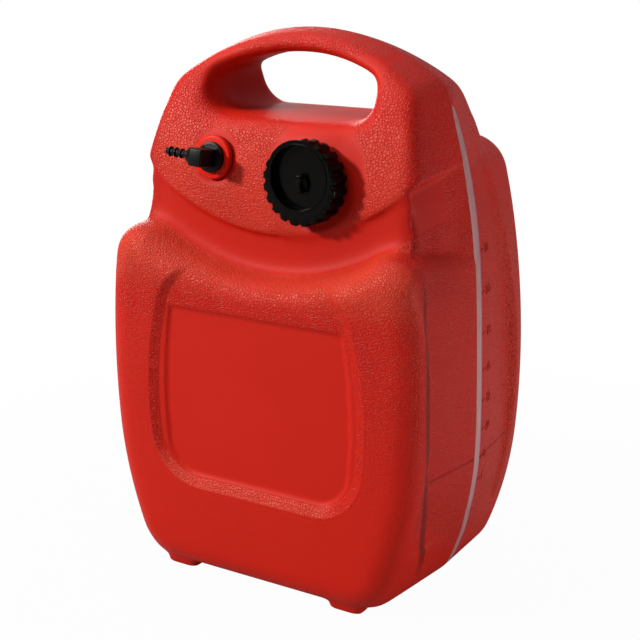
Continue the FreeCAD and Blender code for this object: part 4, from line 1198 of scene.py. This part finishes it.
    def _laid(self, tree: BVHTree, flat: bmesh.types.BMesh, height: float,
              name: str) -> bpy.types.Object:
        """Lays a flat mark on the right flank.

        Args:
            tree: the body's surface.
            flat: the shape, with its X to the back and its Y up, in millimetres. Its Z is 0 on
                the faces that stand proud, and below 0 on those that are sunk in the wall.
            height: the height of its origin, which lies in the parting plane.
            name: the piece's name.

        Returns:
            The piece.
        """
        for vert in flat.verts:
            proud = self.mark_proud if vert.co.z > -0.001 else -self.mark_sunk
            vert.co = self._flank(tree, vert.co.x, height + vert.co.y, proud)
        bmesh.ops.recalc_face_normals(flat, faces=flat.faces[:])
        piece = shown(name, flat)
        self.finishes.dress(piece, "red_polyethylene")
        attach(piece, "root")
        return piece

    def graduation(self, tree: BVHTree, litres: int, z: float) -> bpy.types.Object:
        """A level mark: a short rib and the number of litres.

        Args:
            tree: the body's surface.
            litres: the number.
            z: its height.

        Returns:
            The mark.
        """
        curve = bpy.data.curves.new("figures", "FONT")
        curve.body = str(litres)
        curve.size = self.figure_size
        curve.extrude = 0.5
        curve.offset = 0.15
        curve.align_y = "CENTER"
        text = bpy.data.objects.new("figures", curve)
        bpy.context.scene.collection.objects.link(text)
        bpy.context.evaluated_depsgraph_get().update()
        mesh = bpy.data.meshes.new_from_object(text)
        bpy.data.objects.remove(text)
        bm = bmesh.new()
        bm.from_mesh(mesh)
        bmesh.ops.remove_doubles(bm, verts=bm.verts[:], dist=1e-4)
        bmesh.ops.translate(bm, verts=bm.verts[:], vec=(self.figure_start, 0.0, -curve.extrude))
        rib = set(bmesh.ops.create_grid(bm, x_segments=8, y_segments=1, size=0.5)["verts"])
        for vert in rib:
            vert.co = Vector((self.rib_middle + vert.co.x * self.rib_length,
                              vert.co.y * self.rib_width, 0.0))
        faces = [f for f in bm.faces if f.verts[0] in rib]
        sunk = bmesh.ops.extrude_face_region(bm, geom=faces)
        low = [v for v in sunk["geom"] if isinstance(v, bmesh.types.BMVert)]
        bmesh.ops.translate(bm, verts=low, vec=(0.0, 0.0, -1.0))
        return self._laid(tree, bm, z, f"level_mark_{litres}")

    def build(self) -> list[bpy.types.Object]:
        """Builds the body and all that is moulded on it."""
        body = self.skin()
        tree = BVHTree.FromObject(body, bpy.context.evaluated_depsgraph_get())
        made = [body, self.filler_neck(), self.level_strip(tree)]
        made += [self.graduation(tree, litres, z) for litres, z in self.marks.items()]
        return made


# The filler cap


@dataclass
class FillerCap:
    """The lobed screw cap with its eccentric dish, and the vent's screw in it."""

    finishes: Finishes
    radius: float = 36.0
    lobes: int = 20
    flute_radius: float = 2.6
    flute_sink: float = 2.9
    flute_edge: float = 0.35
    skirt: float = 69.5
    face: float = 89.9
    bore: float = 31.4
    thread_height: float = 1.6
    thread_turns: float = 1.25
    under: float = 80.5
    dish_radius: float = 27.5
    dish_up: float = 5.4
    dish_floor: float = 82.9
    knob_radius: float = 6.5
    knob_low: float = 84.25
    knob_high: float = 89.6
    stem_radius: float = 3.0
    stem_end: float = 75.2
    wing: tuple[float, float] = (7.0, 15.6)
    wing_round: float = 1.6

    def _fluted(self, angle: float) -> float:
        """The radius of the fluted outline.

        Args:
            angle: a direction, in radians.

        Returns:
            The radius in that direction.
        """
        step = 2 * math.pi / self.lobes
        off = abs((angle + step / 2) % step - step / 2)
        flute = self.flute_radius
        centre = self.radius + flute - self.flute_sink
        across = centre * math.sin(off)
        if across >= flute:
            return self.radius
        near = centre * math.cos(off) - math.sqrt(flute * flute - across * across)
        soft = self.flute_edge
        gap = (self.radius - near) / soft
        return self.radius - soft * math.log1p(math.exp(gap)) + soft * math.log(2.0)

    def cap(self) -> bpy.types.Object:
        """The cap itself."""
        top, floor, rim = self.face, self.dish_floor, self.dish_radius
        profile = [
            (0.0, floor), (rim - 0.8, floor), (rim - 0.2, floor + 0.9), (rim, top - 0.5),
            (rim + 0.15, top + 0.15), (rim + 0.55, top + 0.4), (rim + 0.95, top + 0.15),
            (rim + 1.15, top - 0.1), (self.radius - 4.2, top), (self.radius - 1.6, top),
            (self.radius - 0.55, top - 0.35), (self.radius, top - 1.3),
            (self.radius, self.skirt + 0.5), (self.radius - 0.5, self.skirt),
            (self.bore + 0.4, self.skirt), (self.bore, self.skirt + 0.4),
            (self.bore, self.under), (0.0, self.under),
        ]
        solid = Solid().turn(profile, self.lobes * 14, closed=False)

        def shaped(at: Vector) -> Vector:
            """Flutes the wall and sets the dish off the axis."""
            away = math.hypot(at.x, at.y)
            if away < 1e-6:
                return at + Vector((0.0, self.dish_up if at.z > self.under + 1.0 else 0.0, 0.0))
            turn = math.atan2(at.y, at.x)
            if away > self.radius - 2.0:
                now = self._fluted(turn) - (self.radius - away)
                return Vector((at.x * now / away, at.y * now / away, at.z))
            if at.z > self.under + 1.0:
                return at + Vector((0.0, self.dish_up, 0.0))
            return at

        solid.move(shaped).outward()
        ridge = Solid().thread(self.bore + 0.4, self.bore - self.thread_height, self.skirt + 1.0,
                               self.thread_turns)
        cap = joined("lobed_cap", [solid.piece("lobed_cap", filler_frame()),
                                   ridge.piece("cap_thread", filler_frame())])
        self.finishes.dress(cap, "black_polypropylene")
        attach(cap, "cap")
        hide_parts("filler_cap")
        return cap

    def vent_screw(self) -> bpy.types.Object:
        """The vent screw with its upright wing."""
        low, high, radius = self.knob_low, self.knob_high, self.knob_radius
        stem = self.stem_radius
        shoulder = low + 1.9
        profile = [
            (0.0, self.stem_end), (stem - 0.4, self.stem_end), (stem, self.stem_end + 0.4),
            (stem, low), (radius - 0.4, low), (radius, low + 0.4), (radius, shoulder - 0.5),
            (radius - 0.5, shoulder), (0.0, shoulder),
        ]
        head = Solid().turn(profile, 72, closed=False).piece("vent_knob", filler_frame())
        wing = Solid().block((*self.wing, high - low), (0.0, 0.0, (low + high) / 2),
                             self.wing_round)

        def waisted(at: Vector) -> Vector:
            """Narrows the wing at its middle."""
            width = 1.0 - 0.38 * math.exp(-(at.y / 3.2) ** 2)
            return Vector((at.x * width, at.y, at.z))

        upright = [e for e in wing.bm.edges if abs(e.verts[0].co.y - e.verts[1].co.y) > 5.0]
        bmesh.ops.subdivide_edges(wing.bm, edges=upright, cuts=9, use_grid_fill=True)
        grip = wing.move(waisted).outward().piece("vent_wing", filler_frame())
        screw = joined("vent_knob", [head, grip])
        self.finishes.dress(screw, "black_polypropylene")
        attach(screw, "vent")
        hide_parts("vent_screw")
        return screw

    def build(self) -> list[bpy.types.Object]:
        """Builds the cap and its vent screw."""
        return [self.cap(), self.vent_screw()]


# The outlet


@dataclass
class Outlet:
    """The screwed bush and the elbow that turns in it."""

    finishes: Finishes
    turned: float = -4.5
    bush_radius: float = 19.3
    bush_low: float = 1.4
    bush_high: float = 6.0
    sleeve: float = 13.5
    sleeve_end: float = -15.6
    spigot: float = 5.0
    spigot_end: float = -29.6
    fuel_bore: float = 2.6
    elbow_bore: float = 7.6
    bore_end: float = -9.0
    stem: float = 7.52
    stem_end: float = -7.6
    flange_radius: float = 13.6
    flange_low: float = 6.3
    flange_high: float = 9.3
    block: Point = (13.8, 15.4, 22.0)
    block_edge: float = 1.5
    tail_height: float = 20.8
    collar_radius: float = 7.2
    collar_end: float = 12.9
    barbs: int = 4
    barb_pitch: float = 6.25
    barb_radius: float = 4.4
    barb_root: float = 3.2
    bore: float = 2.1

    def _frame(self, turn: float = 0.0) -> Matrix:
        """The outlet's frame, turned round its axis."""
        return frame_at(*FORM.outlet, tilt=FORM.outlet_tilt, turn=turn)

    def bush(self) -> bpy.types.Object:
        """The red bush: rounded flange, sleeve in the wall, and the spigot inside."""
        low, high, radius = self.bush_low, self.bush_high, self.bush_radius
        profile = [
            (self.fuel_bore, self.spigot_end), (self.spigot, self.spigot_end),
            (self.spigot, self.sleeve_end), (self.sleeve, self.sleeve_end),
            (self.sleeve, low), (radius - 0.4, low), (radius, low + 0.4),
            (radius, high - 1.6), (radius - 0.15, high - 1.0), (radius - 0.55, high - 0.45),
            (radius - 1.1, high - 0.12), (radius - 1.8, high),
            (self.elbow_bore, high), (self.elbow_bore, self.bore_end),
            (self.fuel_bore, self.bore_end),
        ]
        bush = Solid().turn(profile, 120).piece("red_bush", self._frame())
        self.finishes.dress(bush, "red_bush")
        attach(bush, "root")
        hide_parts("outlet_bush")
        return bush

    def _tail_profile(self) -> list[tuple[float, float]]:
        """Radius and distance of the barbed tail's corners, from the elbow's axis outwards."""
        collar, root, crest = self.collar_radius, self.barb_root, self.barb_radius
        end = self.collar_end + self.barbs * self.barb_pitch
        outline = [(0.0, 1.0), (collar, 1.0), (collar, self.collar_end - 0.8),
                   (collar - 0.25, self.collar_end - 0.25), (collar - 0.8, self.collar_end),
                   (root, self.collar_end)]
        for barb in range(self.barbs):
            foot = self.collar_end + self.barb_pitch * (barb + 0.25)
            outline += [(root, foot), (crest - 0.15, foot), (crest, foot + 0.15),
                        (crest, foot + 1.1), (crest - 0.1, foot + 1.35),
                        (root, foot + self.barb_pitch / 2)]
        return outline + [(root, end - 0.25), (root - 0.25, end), (self.bore, end),
                          (self.bore, self.collar_end), (0.0, self.collar_end)]

    def elbow(self) -> bpy.types.Object:
        """The elbow: stem, flange, square block, collar and barbed tail."""
        wide, high = self.flange_radius, self.flange_high
        outline = [
            (0.0, self.stem_end), (self.stem, self.stem_end), (self.stem, self.flange_low),
            (wide - 0.3, self.flange_low), (wide, self.flange_low + 0.3), (wide, high - 0.7),
            (wide - 0.2, high - 0.2), (wide - 0.7, high), (0.0, high),
        ]
        turned = self._frame(self.turned)
        across, tall, deep = self.block
        block = Solid().block((across, tall, deep + 1.0), (0.0, 0.0, high - 0.5 + deep / 2),
                              self.block_edge)
        tail = turned @ Matrix.Translation((0.0, 0.0, self.tail_height)) @ Matrix.Rotation(
            math.radians(-90.0), 4, "Y")
        elbow = joined("swivel_elbow", [
            block.piece("swivel_elbow", turned),
            Solid().turn(outline, 96, closed=False).piece("elbow_stem", turned),
            Solid().turn(self._tail_profile(), 64, closed=False).piece("elbow_tail", tail),
        ])
        self.finishes.dress(elbow, "black_nylon")
        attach(elbow, "elbow")
        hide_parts("outlet_elbow")
        return elbow

    def build(self) -> list[bpy.types.Object]:
        """Builds the bush and the elbow."""
        return [self.bush(), self.elbow()]


# Studio


@dataclass(frozen=True)
class Lamp:
    """A square soft lamp that looks at the tank from a direction, with lengths in metres.

    Its strength is how bright it makes a facing white surface, with 1 for white.
    """

    name: str
    towards: Point
    distance: float
    size: float
    strength: float
    colour: Colour

    def build(self, middle: Vector) -> None:
        """Adds the lamp to the scene.

        Args:
            middle: the spot that it looks at.
        """
        data = bpy.data.lights.new(self.name, "AREA")
        data.shape = "SQUARE"
        data.size = self.size
        data.energy = self.strength * math.pi * math.pi * self.distance * self.distance
        data.color = self.colour
        lamp = bpy.data.objects.new(self.name, data)
        way = Vector(self.towards).normalized()
        lamp.location = middle + way * self.distance
        lamp.rotation_euler = way.to_track_quat("Z", "Y").to_euler()
        bpy.context.scene.collection.objects.link(lamp)


@dataclass
class Studio:
    """The plain pale floor, the soft lamps and the camera."""

    middle: Point = (0.0, 0.0, 240.0)
    camera_at: Point = (663.132, -1040.725, 580.544)
    azimuth: float = 32.3474
    elevation: float = 15.8327
    roll: float = -0.16853
    lens: float = 77.7326
    sky: float = 0.04
    zenith: float = 0.4
    floor_glow: float = 0.975
    floor_half: float = 6.0
    sensor: float = 36.0
    lamps: tuple[Lamp, ...] = (
        Lamp("key", (-0.62, -0.647, 0.444), 3.4, 0.3, 0.92, (1.0, 0.94, 0.86)),
        Lamp("side", (0.96, 0.05, -0.09), 0.95, 0.36, 0.38, (1.0, 0.96, 0.92)),
        Lamp("top", (-0.4, -0.16, 0.9), 2.4, 1.4, 0.48, (1.0, 0.95, 0.9)),
        Lamp("back", (-0.72, 0.66, 0.2), 3.0, 1.2, 0.33, (1.0, 0.98, 0.95)),
    )

    def floor(self) -> bpy.types.Object:
        """A white floor that shows only the object's shadow to the camera."""
        bm = bmesh.new()
        bmesh.ops.create_grid(bm, x_segments=1, y_segments=1, size=self.floor_half)
        floor = shown("floor", bm)
        floor.data.materials.append(self._floor_finish())
        return floor

    def _floor_finish(self) -> bpy.types.Material:
        """Pale floor, white to the camera but for the tank's soft shadow."""
        board = Board.named("pale_floor")
        x, y, _ = board.axes()
        path = board.node("ShaderNodeLightPath", {}, {}, "Is Camera Ray")
        reach = span(x, y)
        glossy = path.beside("Is Glossy Ray") * y.rise(50.0, 200.0)
        glossy = glossy * x.rise(150.0, 300.0) * reach.rise(1450.0, 1150.0)
        seen = (path + glossy + path.beside("Is Transmission Ray")).clamped()
        away = reach.rise(250.0, 900.0)
        inputs = {"Base Color": (0.4, 0.4, 0.4), "Roughness": 0.9, "Specular IOR Level": 0.1}
        plain = board.node("ShaderNodeBsdfPrincipled", {}, inputs, "BSDF")
        glow = board.node("ShaderNodeEmission", {}, {"Color": WHITE, "Strength": 1.0})
        share = seen * (self.floor_glow + (1.0 - self.floor_glow) * away)
        board.end(board.node("ShaderNodeMixShader", {}, {0: share, 1: plain, 2: glow}))
        return board.owner

    def world(self) -> None:
        """A dim plain sky that is white behind the tank."""
        board = Board(bpy.data.worlds.new("studio"))
        path = board.node("ShaderNodeLightPath", {}, {}, "Is Camera Ray")
        way = board.node("ShaderNodeTexCoord", {}, {}, "Generated")
        split = board.node("ShaderNodeSeparateXYZ", {}, {"Vector": way}, "Y")
        glossy = path.beside("Is Glossy Ray") * split.rise(0.1, 0.6)
        seen = (path + glossy * 0.5 + path.beside("Is Transmission Ray")).clamped()
        bright = self.sky + (self.zenith - self.sky) * split.beside("Z").rise(0.3, 0.9)
        sky = board.node("ShaderNodeBackground", {}, {"Color": WHITE, "Strength": bright})
        back = board.node("ShaderNodeBackground", {}, {"Color": WHITE, "Strength": 1.0})
        both = board.node("ShaderNodeMixShader", {}, {0: seen, 1: sky, 2: back})
        board.end(both, "ShaderNodeOutputWorld")
        bpy.context.scene.world = board.owner

    def camera(self) -> bpy.types.Object:
        """The camera, where the photograph was taken from."""
        data = bpy.data.cameras.new("camera")
        data.sensor_width = self.sensor
        data.lens = self.lens
        data.clip_start = 0.01
        turn, lift, roll = (math.radians(a) for a in (self.azimuth, self.elevation, self.roll))
        back = Vector((math.sin(turn) * math.cos(lift), -math.cos(turn) * math.cos(lift),
                       math.sin(lift)))
        level = (-back).cross(Vector((0.0, 0.0, 1.0))).normalized()
        up = back.cross(level)
        right = level * math.cos(roll) + up * math.sin(roll)
        above = up * math.cos(roll) - level * math.sin(roll)
        pose = Matrix((right, above, back)).transposed().to_4x4()
        pose.translation = mm(*self.camera_at)
        camera = bpy.data.objects.new("camera", data)
        camera.matrix_world = pose
        bpy.context.scene.collection.objects.link(camera)
        bpy.context.scene.camera = camera
        return camera

    def build(self) -> None:
        """Sets up the floor, the light and the camera."""
        bpy.context.scene.view_settings.view_transform = "Standard"
        self.floor()
        self.world()
        for lamp in self.lamps:
            lamp.build(mm(*self.middle))
        self.camera()


def empty_scene() -> None:
    """Clears what Blender starts with."""
    for thing in list(bpy.data.objects):
        bpy.data.objects.remove(thing)


def corners(box: Iterable[Vector]) -> list[list[float]]:
    """A box's two corners as plain lists."""
    return [[float(c) for c in corner] for corner in box]


def main() -> None:
    """Builds the dressed tank over its frame."""
    logging.basicConfig(level=logging.INFO, format="%(name)s: %(message)s")
    empty_scene()
    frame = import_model()
    finishes = Finishes()
    for part in frame["record"]["subparts"]:
        piece = bpy.data.objects[part["node"]]
        piece.data.materials.clear()
        piece.data.materials.append(finishes.by_slot[part["material_slot"]])
    made: list[bpy.types.Object] = []
    for assembly in (TankBody(finishes), FillerCap(finishes), Outlet(finishes)):
        made += assembly.build()
    Studio().build()
    log.info("%d CAD nodes and %d new pieces", len(frame["nodes"]), len(made))


if __name__ == "__main__":
    main()
